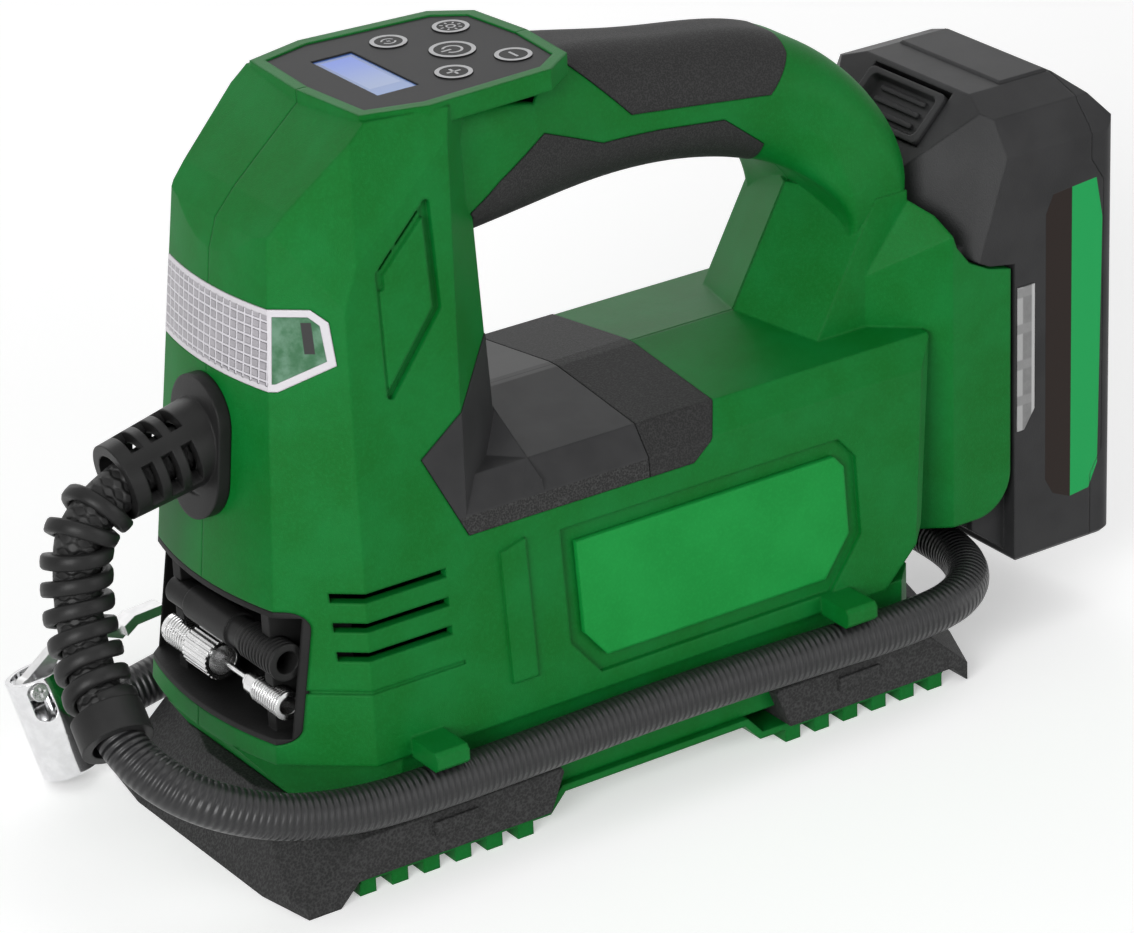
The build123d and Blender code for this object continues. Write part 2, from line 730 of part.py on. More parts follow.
threads = thread_rings(-33.5, -15.0, 1.6, cone_r)
cone_sections = [
    (-33.5, -14.5, cone_r - 0.5, 3.2), (-14.5, -9.5, 4.3, 2.2), (-9.5, 12, 5.0, 2.2), (12, 22.5, 4.1, 1.8),
]
keep("nozzle_cone", turned(stow_x, stow_high, cone_sections + threads))

adapter_threads = thread_rings(13.0, 26.0, 1.2, adapter_r - 0.9)
adapter_sections = [(1.0, 13.0, adapter_r, 4.2), (13.0, 26.2, adapter_r - 1.3, 2.0)]
with BuildPart() as adapter_valve:
    add(turned(stow_x, stow_low, adapter_sections + adapter_threads))
    for i in range(24):
        turn = radians(15 * i)
        at = (stow_x + adapter_r * cos(turn), 0, stow_low + adapter_r * sin(turn))
        add(rod((at[0], 0, at[2]), (at[0], 13, at[2]), 0.35), mode=Mode.SUBTRACT)
keep("adapter_valve", adapter_valve)

needle_threads = thread_rings(-32.5, -18.5, 1.1, needle_r)
needle_sections = [(-32.5, -15.5, needle_r - 0.45, 2.6), (-15.5, -13.5, 2.6, 0), (-13.5, 0.5, 0.9, 0)]
keep("needle_ball", turned(stow_x, stow_low, needle_sections + needle_threads))

# ---------------------------------------------------------------- hose outlet and strain relief
flange_half = 12.5
flange_z = (97.0, 136.0)
flange_out = 3.8
cage_start_x = -107.0
cage_root_r = 11.6
cage_tip_r = 10.6
cage_bore_r = 7.6
slot_wide = 3.4
slot_pitch = 6.0
with BuildPart() as flange_plate:
    with BuildSketch(Plane.YZ.offset(-125)):
        with Locations((0, (flange_z[0] + flange_z[1]) / 2)):
            SlotOverall(flange_z[1] - flange_z[0], 2 * flange_half, rotation=90)
    extrude(amount=40)
    add(nose_form(flange_z[0] - 20, flange_z[1] + 20, -flange_out), mode=Mode.INTERSECT)
    add(nose_form(flange_z[0] - 25, flange_z[1] + 25, -fit), mode=Mode.SUBTRACT)

outlet_dir = Vector(-cos(radians(outlet_droop)), 0, -sin(radians(outlet_droop)))
outlet_up = Vector(outlet_dir.Z, 0, -outlet_dir.X)


def outlet_at(distance):
    """A point on the axis of the strain relief."""
    return Vector(cage_start_x, 0, outlet_z) + outlet_dir * distance


with BuildPart() as cage_slots:
    for i in range(3):
        middle = 6.0 + slot_pitch * i
        slot_ends = (outlet_at(middle - slot_wide / 2), outlet_at(middle + slot_wide / 2))
        add(rod(*slot_ends, cage_root_r + 2, cage_bore_r - 0.5))
    for turn in (45, 135, 225, 315):
        out = Vector(0, cos(radians(turn)), 0) + outlet_up * sin(radians(turn))
        with BuildSketch(Plane(origin=outlet_at(15), x_dir=outlet_dir, z_dir=out)):
            Rectangle(40, 4.4)
        extrude(amount=20, mode=Mode.SUBTRACT)

with BuildPart() as hose_flange:
    add(flange_plate.part)
    with BuildSketch(Plane(origin=outlet_at(cage_long), z_dir=outlet_dir)):
        Circle(cage_tip_r)
    with BuildSketch(Plane(origin=outlet_at(-3.5), z_dir=outlet_dir)):
        Circle(cage_root_r)
    loft()
    add(nose_form(flange_z[0] - 25, flange_z[1] + 25, -fit), mode=Mode.SUBTRACT)
    add(rod((cage_start_x + 2, 0, outlet_z), (-95, 0, outlet_z), neck_r))
    add(rod(outlet_at(cage_long + 1), outlet_at(0), cage_bore_r), mode=Mode.SUBTRACT)
    add(rod((cage_start_x - 1, 0, outlet_z), (-90, 0, outlet_z), 3.2), mode=Mode.SUBTRACT)
    add(cage_slots.part, mode=Mode.SUBTRACT)
keep("hose_flange", hose_flange)

# ---------------------------------------------------------------- hose
chuck_foot = Vector(-122.0, 56.5, 3.0)
chuck_axis = unit(-0.186, 0.231, 0.955)
chuck_frame = Plane(origin=chuck_foot, x_dir=unit(0.982, 0, 0.191), z_dir=chuck_axis)
stem_z = 12.0
stem_long = 20.0
hose_end = chuck_frame.from_local_coords((stem_long, 0, stem_z))

hose_points = [
    tuple(outlet_at(0)), tuple(outlet_at(35)), (-146, -2, 86), (-148.8, -13, 67.5), (-151, -30, 54.5),
    (-143, -47, 45), (-122, -54.5, 35), (-100, -56.5, 30.5), (-80, -57, 29.3),
    (-45, -hose_side, hose_z), (0, 0.8 - hose_side, 29.6),
    (45, -hose_side, 29.2), (80, -57, 28.4), (106, -53.5, 28.3), (121.5, -35, 28.4), (123.6, -1, 28.3),
    (121.3, 34, 28.4), (106, 53.5, 28.3), (80, 57, 28.4), (45, hose_side - 0.4, 28.8), (4, hose_side - 1, 28.9),
    (-36, hose_side - 0.2, 28.9), (-65, 57.4, 28.0),
    tuple(hose_end + chuck_frame.x_dir * 19), tuple(hose_end),
]


def tangent_radii(points):
    """Arc radius at each inner point: 0.45 of the shorter run, over the tangent of half the turn."""
    radii = []
    for before, at, after in zip(points, points[1:], points[2:]):
        run_in = Vector(*at) - Vector(*before)
        run_out = Vector(*after) - Vector(*at)
        half_turn = radians(run_in.get_angle(run_out)) / 2
        radii.append(0.45 * min(run_in.length, run_out.length) / tan(half_turn))
    return radii


hose_radii = tangent_radii(hose_points)
print("hose radii", [round(r) for r in hose_radii])
with BuildPart() as hose:
    with BuildLine() as hose_line:
        FilletPolyline(*hose_points, radius=hose_radii)
    with BuildSketch(Plane(origin=hose_points[0], z_dir=outlet_dir)):
        Circle(hose_diam / 2)
        Circle(hose_bore / 2, mode=Mode.SUBTRACT)
    sweep(path=hose_line.wires()[0])
hose_length = hose_line.wires()[0].length
ring_area = pi * (hose_diam ** 2 - hose_bore ** 2) / 4
print("hose length", round(hose_length), "volume ratio", round(hose.part.volume / (ring_area * hose_length), 4))
keep("hose", hose)

guard_room = 0.35
guard_first = 0.36  # share of the first bend that lies bare between the cage and the guard
route = hose_line.wires()[0].order_edges()
with BuildLine() as guard_line:
    add(route[1].trim(guard_first, 1.0))
    for step in route[2:6]:
        add(step)
    add(route[6].trim(0.0, 0.5))
guard_path = guard_line.wires()[0]
guard_end = guard_path @ 1
with BuildPart() as hose_guard:
    with BuildSketch(Plane(origin=guard_path @ 0, z_dir=guard_path % 0)):
        Circle(guard_diam / 2)
        Circle(hose_diam / 2 + guard_room, mode=Mode.SUBTRACT)
    sweep(path=guard_path)
print("guard length", round(guard_path.length), "from", guard_path @ 0, "to", guard_end)
keep("hose_guard", hose_guard)

ferrule_long = 9.0
ferrule_run = (Vector(*hose_points[4]) - Vector(*hose_points[3])).normalized()
ferrule_end = guard_end + ferrule_run * ferrule_long
keep("hose_ferrule", rod(tuple(guard_end), tuple(ferrule_end), guard_diam / 2 + 0.3, hose_diam / 2 + 0.8))

# ------------------------------------------- chuck, in its own frame: Z up the barrel, X along the stem
rim_wall = 1.5
cavity_r = chuck_r - rim_wall
cavity_low = 18.0
mouth_r = 6.7
mouth_deep = 6.0
pin_x = -3.1
pin_z = 26.8
pin_r = 1.6
lever_half = 2.3
hub_r = 3.2

with BuildPart() as chuck_body:
    add(rod((0, 0, 0), (0, 0, chuck_long), chuck_r))
    fillet(edges().group_by(Axis.Z)[0], 0.8)
    add(rod((4, 0, stem_z), (stem_long - 8, 0, stem_z), 5.0))
    add(rod((0, 0, cavity_low), (0, 0, chuck_long + 1), cavity_r), mode=Mode.SUBTRACT)
    add(rod((0, 0, -1), (0, 0, mouth_deep), mouth_r), mode=Mode.SUBTRACT)
    add(rod((0, 0, 0), (0, 0, cavity_low - 3), 4.2), mode=Mode.SUBTRACT)
    add(rod((0, 0, stem_z), (stem_long, 0, stem_z), 2.2), mode=Mode.SUBTRACT)
    add(rod((pin_x, 0, pin_z), (pin_x, 20, pin_z), pin_r + 0.03), mode=Mode.SUBTRACT)
    with BuildSketch(Plane(origin=(pin_x, -4, pin_z - 3.0), x_dir=(1, 0, 0), z_dir=(0, -1, 0))):
        SlotCenterToCenter(6.0, 5.6, rotation=90)
    extrude(amount=10, mode=Mode.SUBTRACT)

with BuildPart() as chuck_ferrule:
    add(rod((stem_long - 11.5, 0, stem_z), (stem_long, 0, stem_z), 6.9, 5.05))
    add(rod((stem_long - 1.0, 0, stem_z), (stem_long, 0, stem_z), 5.2, 3.3))

with BuildPart() as chuck_seal:
    add(rod((0, 0, 0.6), (0, 0, mouth_deep - 0.1), mouth_r - 0.05, 3.95))

with BuildPart() as chuck_pin:
    add(rod((pin_x, -7.6, pin_z), (pin_x, 7.9, pin_z), pin_r))
    add(rod((pin_x, -8.2, pin_z), (pin_x, -7.0, pin_z), 2.5))
    with BuildSketch(Plane(origin=(pin_x, -8.3, pin_z), x_dir=(1, 0, 0), z_dir=(0, 1, 0))):
        Rectangle(3.0, 0.7)
        Rectangle(0.7, 3.0)
    extrude(amount=0.6, mode=Mode.SUBTRACT)

lever_top = [(pin_x - 2.2, pin_z + 2.2), (7.0, 34.3), (14, 34.6), (22, 33.6), (27, 30.6), (32, 32.4), (41.5, 31.4)]
lever_under = [(41.5, 28.8), (32, 29.6), (27, 27.4), (21, 31.0), (14, 32.0), (8.4, 31.6), (pin_x + 2.4, pin_z - 1.8)]
lever_tip_half = 4.2
with BuildPart() as chuck_lever:
    with BuildSketch(Plane(origin=(0, lever_half, 0), x_dir=(1, 0, 0), z_dir=(0, -1, 0))):
        with BuildLine():
            Polyline(*lever_top, *lever_under, close=True)
        make_face()
        with Locations((pin_x, pin_z)):
            Circle(hub_r)
    extrude(amount=2 * lever_half)
    with BuildSketch(Plane(origin=(0, lever_tip_half, 0), x_dir=(1, 0, 0), z_dir=(0, -1, 0))):
        with BuildLine():
            Polyline((28, 31.0), (32, 32.4), (41.5, 31.4), (41.5, 28.8), (32, 29.6), (28, 28.0), close=True)
        make_face()
    extrude(amount=2 * lever_tip_half)
    add(rod((pin_x, -5, pin_z), (pin_x, 5, pin_z), pin_r + 0.05), mode=Mode.SUBTRACT)

chuck_parts = {
    "chuck_body": chuck_body, "chuck_ferrule": chuck_ferrule, "chuck_seal": chuck_seal,
    "chuck_pin": chuck_pin, "chuck_lever": chuck_lever,
}
for name, builder in chuck_parts.items():
    keep(name, builder.part.moved(chuck_frame.location))
pin_at = chuck_frame.from_local_coords((pin_x, 0, pin_z))
print("lever pin", [round(v, 3) for v in pin_at], "axis", [round(v, 5) for v in chuck_frame.y_dir])

# ---------------------------------------------------------------- battery pack
batt_wall = 3.0
batt_room_top = 149.5  # the cells' room stays below the top's bevels
cap_line = [(160.2, 170), (160.2, 158), (161.6, 151.5), (161.6, 142), (166, 135), (166, 52), (162, 45), (162, 20)]
slope_low = (116.0, 148.0)
slope_high = (131.0, 163.0)
slope_out = unit(-1, 0, 1)
slope_mid = Vector((slope_low[0] + slope_high[0]) / 2, 0, (slope_low[1] + slope_high[1]) / 2)
slope_plane = Plane(origin=slope_mid, x_dir=unit(1, 0, 1), z_dir=slope_out)
latch_long = 16.3
latch_half = 17.0
latch_proud = 1.0
latch_deep = 4.0
latch_travel = 2.5
latch_slot = 1.2  # wider gap along the latch's upper edge
latch_scoop = 2.4  # depth of the thumb scoop
blade_y = [-9.0, -3.0, 3.0, 9.0]
blade_slot_x = 121.0

batt_shoulder_bevel = both((150, -batt_half, batt_top - 14), (0, -0.88, 0.475))
top_panel = ((142.8, -22.5), (159.6, 22.5))  # raised plate on the top, as (x, y) corners
top_panel_high = 0.8
shoulder_x = 109.0
shoulder_planes = both((134.2, -batt_half, 157.4), (-0.775, -0.574, 0.267))

with BuildPart() as batt_outer:
    add(box_between((batt_side_x, -batt_half, batt_low), (batt_rear, batt_half, batt_top)))
    fillet(edges().filter_by(Axis.Z).group_by(Axis.X)[-1], 5.0)
    chamfer(edges().filter_by(Axis.Y).group_by(Axis.Z)[0], 1.5)
    trim(both((150, 22.5, batt_top + 0.2), (0, 0.324, 0.946)))
    trim([((batt_rear, 0, batt_top - 12), (0.76, 0, 0.65))] + batt_shoulder_bevel)

with BuildPart() as batt_front_block:
    with BuildSketch(Plane.XZ):
        with BuildLine():
            Polyline((batt_front, dock_low), (batt_front, 125), (150, 125), (150, 28), (batt_side_x, 28), close=True)
        make_face()
    extrude(amount=dock_room, both=True)

# The shoulder's underside follows the dock's top edge, with a small gap.
dock_gap = 0.8
shoulder_under = [(x, z + dock_gap) for x, z in dock_top[:4]]
shoulder_foot = dock_top[3][1] + (dock_top[3][0] - shoulder_x) * (dock_top[4][1] - dock_top[3][1]) / (
    dock_top[3][0] - dock_top[4][0]
)
with BuildPart() as batt_shoulder:
    with BuildSketch(Plane.XZ):
        with BuildLine():
            Polyline((150, batt_top), (150, dock_top[0][1]), (batt_side_x, dock_top[0][1] - 0.8), *shoulder_under,
                     (shoulder_x, shoulder_foot + dock_gap), (shoulder_x, batt_top), close=True)
        make_face()
    extrude(amount=batt_half, both=True)
    trim([(slope_mid, slope_out)] + shoulder_planes + both((150, 22.5, batt_top + 0.2), (0, 0.324, 0.946)))
    trim(batt_shoulder_bevel)

with BuildPart() as batt_panel:
    (panel_x0, panel_y0), (panel_x1, panel_y1) = top_panel
    add(box_between((panel_x0, panel_y0, batt_top - 1), (panel_x1, panel_y1, batt_top + top_panel_high)))
    chamfer(faces().sort_by(Axis.Z)[-1].edges(), 0.6)

with BuildPart() as batt_room:
    case_floor = (137, batt_wall - batt_half, batt_low + batt_wall)
    add(box_between(case_floor, (batt_rear - batt_wall, batt_half - batt_wall, batt_room_top)))
    add(box_between((blade_slot_x + 0.2, -32, 46), (138, 32, 120)))

gauge_outline = [(134.8, 110), (141.2, 110), (141.2, 71.8), (137.4, 66), (134.8, 66)]


def gauge_prism(shrink, deep):
    """The charge gauge's window at the -Y side, or the seat it lies in."""
    with BuildPart() as form:
        with BuildSketch(Plane.XZ.offset(batt_half - deep)):
            with BuildLine():
                Polyline(*gauge_outline, close=True)
            make_face()
            if shrink:
                offset(amount=-shrink, kind=Kind.INTERSECTION)
        extrude(amount=deep + (0.2 if shrink else 5))
    return form.part


with BuildPart() as batt_solid:
    add(batt_outer.part)
    add(batt_front_block.part)
    add(batt_shoulder.part)
    add(batt_panel.part)
    add(batt_room.part, mode=Mode.SUBTRACT)
    with BuildSketch(slope_plane):
        with Locations((latch_slot / 2, 0)):
            Rectangle(latch_long + 2 * play + latch_slot, 2 * (latch_half + play))
    extrude(amount=-(latch_deep + latch_travel + play), mode=Mode.SUBTRACT)
    for y in blade_y:
        add(box_between((100, y - 1, 20), (blade_slot_x + 1, y + 1, terminal_z[1])), mode=Mode.SUBTRACT)
    for side in (-1, 1):
        inner, outer = sorted((side * (dock_room - rail_deep), side * (dock_room + 5)))
        groove_low = (rail_x[0] - play, inner, 10)
        add(box_between(groove_low, (rail_x[1] + play, outer, rail_z[1] + fit)), mode=Mode.SUBTRACT)
    add(gauge_prism(0.0, 0.9), mode=Mode.SUBTRACT)

cap_side = cap_line + [(200, 20), (200, 170)]
with BuildPart() as battery_case:
    add(batt_solid.part)
    add(side_prism(cap_side, fit), mode=Mode.SUBTRACT)
with BuildPart() as battery_cap:
    add(batt_solid.part)
    add(side_prism(cap_side), mode=Mode.INTERSECT)
keep("battery_case", battery_case)
keep("battery_cap", battery_cap)
keep("battery_gauge", gauge_prism(0.1, 0.85))

with BuildPart() as battery_latch:
    with BuildSketch(slope_plane.offset(-latch_deep)):
        RectangleRounded(latch_long, 2 * latch_half, 2.0)
    extrude(amount=latch_deep + latch_proud)
    with BuildSketch(slope_plane.offset(latch_proud - latch_scoop)):
        RectangleRounded(latch_long - 5.0, 2 * latch_half - 8.0, 1.5)
    with BuildSketch(slope_plane.offset(latch_proud)):
        RectangleRounded(latch_long - 3.4, 2 * latch_half - 5.0, 2.2)
    loft(mode=Mode.SUBTRACT)
    for along in (-3.6, 0.0, 3.6):
        with BuildSketch(slope_plane.offset(latch_proud - latch_scoop)):
            with Locations((along, 0)):
                RectangleRounded(1.5, 20, 0.7)
        extrude(amount=0.9)
keep("battery_latch", battery_latch)

cell_x = 152.0
cell_pitch = 19.2
cell_first = 52.0
cell_count = 5
with BuildPart() as battery_cells:
    for i in range(cell_count):
        z = cell_first + cell_pitch * i
        add(rod((cell_x, -cell_long / 2, z), (cell_x, cell_long / 2, z), cell_r))
keep("battery_cells", battery_cells)

holder_z = (cell_first - cell_r - 1.5, cell_first + cell_pitch * (cell_count - 1) + cell_r + 1.5)
with BuildPart() as cell_holder:
    add(box_between((cell_x - 13, -cell_long / 2 - 3, holder_z[0]), (cell_x + 13, cell_long / 2 + 3, holder_z[1])))
    inner_high = holder_z[1] - 1.4
    inner = cell_long / 2 + 0.1
    add(box_between((100, -inner, holder_z[0] + 1.4), (200, inner, inner_high)), mode=Mode.SUBTRACT)
keep("cell_holder", cell_holder)

with BuildPart() as battery_terminals:
    add(box_between((blade_slot_x + 1.2, -12, terminal_z[0]), (blade_slot_x + 7, 12, terminal_z[1])))
    for y in blade_y:
        for inner in (y - 0.9, y + 0.5):
            leaf_foot = (blade_slot_x - 4, inner, terminal_z[0])
            add(box_between(leaf_foot, (blade_slot_x + 2, inner + 0.4, terminal_z[1] - 2)))
keep("battery_terminals", battery_terminals)

with BuildPart() as dock_terminals:
    add(box_between((107.7, -terminal_half, terminal_z[0]), (dock_front - 0.1, terminal_half, terminal_z[1])))
    add(box_between((104.2, -terminal_half - 3, terminal_z[0] - 4), (107.8, terminal_half + 3, terminal_z[1] + 3)))
    for y in blade_y:
        blade_foot = (dock_front - 2, y - 0.35, terminal_z[0] + 3)
        add(box_between(blade_foot, (blade_slot_x - 1, y + 0.35, terminal_z[1] - 3)))
keep("dock_terminals", dock_terminals)

# ---------------------------------------------------------------- motor, gearing and compressor
can_x = (18.0, 73.0)
can_wall = 1.5
shaft_fit = 0.05
gear_z = motor_z - gear_r - pinion_r
gear_x = (6.0, 6.0 + gear_thick)
pinion_tip = gear_x[0] + 0.6  # clear of the piston's skirt
frame_x = (14.0, 18.0)
with BuildPart() as motor_can:
    add(rod((can_x[0], 0, motor_z), (can_x[1], 0, motor_z), motor_r))
    add(rod((can_x[0] + 2, 0, motor_z), (can_x[1] + 1, 0, motor_z), motor_r - can_wall), mode=Mode.SUBTRACT)
    add(rod((can_x[0] - 1, 0, motor_z), (can_x[0] + 5, 0, motor_z), shaft_r + shaft_fit), mode=Mode.SUBTRACT)
keep("motor_can", motor_can)

with BuildPart() as motor_cap:
    add(rod((can_x[1], 0, motor_z), (can_x[1] + 3, 0, motor_z), motor_r))
    add(rod((can_x[1] - 3, 0, motor_z), (can_x[1], 0, motor_z), motor_r - can_wall - 0.1))
    add(rod((can_x[1] - 4, 0, motor_z), (can_x[1] + 4, 0, motor_z), shaft_r + shaft_fit), mode=Mode.SUBTRACT)
keep("motor_cap", motor_cap)

with BuildPart() as motor_rotor:
    add(rod((pinion_tip, 0, motor_z), (can_x[1] + 2, 0, motor_z), shaft_r))
    add(rod((pinion_tip, 0, motor_z), (frame_x[0] - 0.5, 0, motor_z), pinion_r - 0.15))
    add(rod((can_x[0] + 7, 0, motor_z), (can_x[1] - 12, 0, motor_z), motor_r - can_wall - 3))
    add(rod((can_x[1] - 10, 0, motor_z), (can_x[1] - 5, 0, motor_z), 6))
keep("motor_rotor", motor_rotor)

with BuildPart() as gearbox_frame:
    frame_foot = (frame_x[0], -core_half + wall + 0.2, sill_z + wall)
    add(box_between(frame_foot, (frame_x[1], core_half - wall - 0.2, 34)))
    add(box_between((frame_x[0], -21, 30), (frame_x[1], 21, 86)))
    add(rod((10, 0, motor_z), (20, 0, motor_z), pinion_r + 0.4), mode=Mode.SUBTRACT)
    add(rod((10, 0, gear_z), (20, 0, gear_z), shaft_r + shaft_fit), mode=Mode.SUBTRACT)
keep("gearbox_frame", gearbox_frame)

with BuildPart() as crank_gear:
    add(rod((gear_x[0], 0, gear_z), (gear_x[1], 0, gear_z), gear_r - 0.2))
    add(rod((gear_x[1], 0, gear_z), (frame_x[1] + 2, 0, gear_z), shaft_r))
    add(rod((frame_x[1] + 0.3, 0, gear_z), (frame_x[1] + 2, 0, gear_z), shaft_r + 1.5))
    add(rod((-1.5, 0, gear_z + crank_throw), (gear_x[0], 0, gear_z + crank_throw), shaft_r))
keep("crank_gear", crank_gear)

bore_x = -5.75
cyl_wall = 2.0
cyl_z = (68.0, 92.0)
head_high = 9.0
with BuildPart() as cylinder:
    add(rod((bore_x, 0, cyl_z[0]), (bore_x, 0, cyl_z[1]), bore_r + cyl_wall))
    add(box_between((bore_x - 14, -17, cyl_z[0]), (frame_x[0], 17, cyl_z[0] + 4)))
    for z in (76.0, 80.0, 84.0, 88.0):
        add(rod((bore_x, 0, z - 0.8), (bore_x, 0, z + 0.8), bore_r + cyl_wall + 2.5))
    add(rod((bore_x, 0, 60), (bore_x, 0, 95), bore_r), mode=Mode.SUBTRACT)
keep("cylinder", cylinder)

with BuildPart() as cylinder_head:
    add(rod((bore_x, 0, cyl_z[1]), (bore_x, 0, cyl_z[1] + head_high), bore_r + cyl_wall + 1))
    add(rod((bore_x - 19, 0, 97), (bore_x - 10, 0, 97), 3.0))
keep("cylinder_head", cylinder_head)

with BuildPart() as piston_rod:
    add(rod((bore_x, 0, 80), (bore_x, 0, 90), bore_r - 0.05))
    add(box_between((bore_x - 3.7, -4, gear_z + crank_throw), (bore_x + 3.7, 4, 81)))
    add(rod((bore_x - 3.7, 0, gear_z + crank_throw), (bore_x + 3.7, 0, gear_z + crank_throw), 6.5))
keep("piston_rod", piston_rod)

air_points = [(bore_x - 19.3, 0, 97), (-45, 0, 98), (-62, 0, 106), (-78, 0, 114.2), (-95, 0, outlet_z)]
with BuildPart() as air_tube:
    with BuildLine() as air_line:
        FilletPolyline(*air_points, radius=tangent_radii(air_points))
    with BuildSketch(Plane(origin=air_points[0], z_dir=Vector(*air_points[1]) - Vector(*air_points[0]))):
        Circle(3.0)
        Circle(1.8, mode=Mode.SUBTRACT)
    sweep(path=air_line.wires()[0])
keep("air_tube", air_tube)

# The row's origin: the middle of the body and battery, on the floor.
origin_x = (foot_front[0] + batt_rear) / 2
for name, part in pieces.items():
    moved = part.moved(Location((-origin_x, 0, 0)))
    moved.label = name
    export_step(moved, f"parts/{name}.step")
print(len(pieces), "pieces")
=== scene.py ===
"""Portable tire inflator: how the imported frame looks. Metres, row frame, +Z up."""
import math

import bpy
from mathutils import Matrix, Vector


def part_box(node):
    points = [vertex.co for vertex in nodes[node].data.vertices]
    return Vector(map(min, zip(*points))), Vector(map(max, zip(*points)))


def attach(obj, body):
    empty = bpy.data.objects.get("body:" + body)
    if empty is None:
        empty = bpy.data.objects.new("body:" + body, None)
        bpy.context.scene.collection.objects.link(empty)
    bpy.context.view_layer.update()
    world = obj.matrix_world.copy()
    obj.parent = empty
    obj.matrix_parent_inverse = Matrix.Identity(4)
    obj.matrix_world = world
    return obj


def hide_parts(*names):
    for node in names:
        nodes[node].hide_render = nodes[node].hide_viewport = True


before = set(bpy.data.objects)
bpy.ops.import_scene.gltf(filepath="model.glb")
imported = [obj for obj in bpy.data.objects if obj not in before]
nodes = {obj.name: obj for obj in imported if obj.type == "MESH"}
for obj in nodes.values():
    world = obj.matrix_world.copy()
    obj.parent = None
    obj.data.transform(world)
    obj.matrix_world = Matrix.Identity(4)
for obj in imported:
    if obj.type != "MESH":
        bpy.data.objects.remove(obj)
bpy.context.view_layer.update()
scene = bpy.context.scene
SHIFT = 0.02825  # from the middle of the base to the middle of body and battery
PLASTIC_SHINE = 0.18  # specular level of plain mouldings


# ---------------------------------------------------------------- camera
def add_camera():
    """A long lens to the left of the nose, looking a little down."""
    distance = 1.265
    right = Vector((0.8249, -0.5639, -0.0365)).normalized()
    up = Vector((0.2624, 0.3251, 0.9085)).normalized()
    back = right.cross(up).normalized()
    up = back.cross(right)
    target = Vector((-0.0185 - SHIFT, -0.0413, 0.100))
    data = bpy.data.cameras.new("camera")
    data.sensor_width = 36.0
    data.lens = 152.38
    data.clip_start = 0.05
    data.clip_end = 20.0
    camera = bpy.data.objects.new("camera", data)
    turn = Matrix((right, up, back)).transposed().to_4x4()
    camera.matrix_world = Matrix.Translation(target + back * distance) @ turn
    scene.collection.objects.link(camera)
    scene.camera = camera


add_camera()


# ---------------------------------------------------------------- hose route
def at(x, y, z):
    """A point given in millimetres about the middle of the base."""
    return Vector((x / 1000 - SHIFT, y / 1000, z / 1000))


HOSE_D = 0.0124
DROOP = math.radians(12)  # the outlet's slope below level
OUTLET_X = -107
OUTLET_Z = 118
CAGE_MOUTH = 27  # from the outlet's root to the mouth of the strain relief


def outlet_at(distance):
    """A point on the axis of the outlet, in millimetres."""
    return (OUTLET_X - distance * math.cos(DROOP), 0, OUTLET_Z - distance * math.sin(DROOP))


ROUTE = [
    outlet_at(0), outlet_at(35), (-146, -2, 86), (-148.8, -13, 67.5), (-151, -30, 54.5),
    (-143, -47, 45), (-122, -54.5, 35), (-100, -56.5, 30.5), (-80, -57, 29.3), (-45, -56, 28.9),
    (0, -55.2, 29.6), (45, -56, 29.2), (80, -57, 28.4), (106, -53.5, 28.3), (121.5, -35, 28.4),
    (123.6, -1, 28.3), (121.3, 34, 28.4), (106, 53.5, 28.3), (80, 57, 28.4), (45, 55.6, 28.8),
    (4, 55, 28.9), (-36, 55.8, 28.9), (-65, 57.4, 28.0), (-85.909, 59.3, 21.841),
    (-104.562, 59.3, 18.212),
]


def link(obj):
    """Put a new object in the scene."""
    scene.collection.objects.link(obj)
    return obj


def spline_points(points, resolution):
    """The line of a smooth spline over the control points."""
    curve = bpy.data.curves.new("line", "CURVE")
    curve.dimensions = "3D"
    curve.resolution_u = resolution
    spline = curve.splines.new("NURBS")
    spline.points.add(len(points) - 1)
    for point, co in zip(spline.points, points):
        point.co = (*co, 1.0)
    spline.order_u = 3
    spline.use_endpoint_u = True
    holder = link(bpy.data.objects.new("line", curve))
    mesh = bpy.data.meshes.new_from_object(holder)
    line = [v.co.copy() for v in mesh.vertices]
    bpy.data.objects.remove(holder)
    bpy.data.meshes.remove(mesh)
    return line


def resample(line, step):
    """The same line with points evenly spaced."""
    total = sum((b - a).length for a, b in zip(line, line[1:]))
    count = max(2, round(total / step))
    gap = total / count
    out = [line[0].copy()]
    i = 0
    run = 0.0
    for k in range(1, count):
        goal = gap * k
        while run + (line[i + 1] - line[i]).length < goal:
            run += (line[i + 1] - line[i]).length
            i += 1
        part = (goal - run) / (line[i + 1] - line[i]).length
        out.append(line[i].lerp(line[i + 1], part))
    return out + [line[-1].copy()]


def stations(line):
    """Point, tangent, side, up and length so far along a line, turning as little as possible."""
    out = []
    length = 0.0
    side = Vector((0, 1, 0))
    for i, point in enumerate(line):
        ahead = line[min(i + 1, len(line) - 1)] - line[max(i - 1, 0)]
        tangent = ahead.normalized()
        side = (side - tangent * side.dot(tangent)).normalized()
        if i:
            length += (point - line[i - 1]).length
        out.append((point, tangent, side, tangent.cross(side), length))
    return out


def tube_faces(rings, around):
    """Quads between rings of points, and a cap at each end."""
    faces = []
    for i in range(rings - 1):
        for k in range(around):
            j = (k + 1) % around
            here = i * around
            faces.append((here + k, here + j, here + around + j, here + around + k))
    last = (rings - 1) * around
    faces.append(tuple(reversed(range(around))))
    faces.append(tuple(last + k for k in range(around)))
    return faces


def mesh_piece(name, verts, faces, smooth_sides=4):
    """A new piece; faces with that many corners are smooth, the others flat."""
    mesh = bpy.data.meshes.new(name)
    mesh.from_pydata(verts, [], faces)
    for poly in mesh.polygons:
        poly.use_smooth = len(poly.vertices) == smooth_sides
    return link(bpy.data.objects.new(name, mesh))


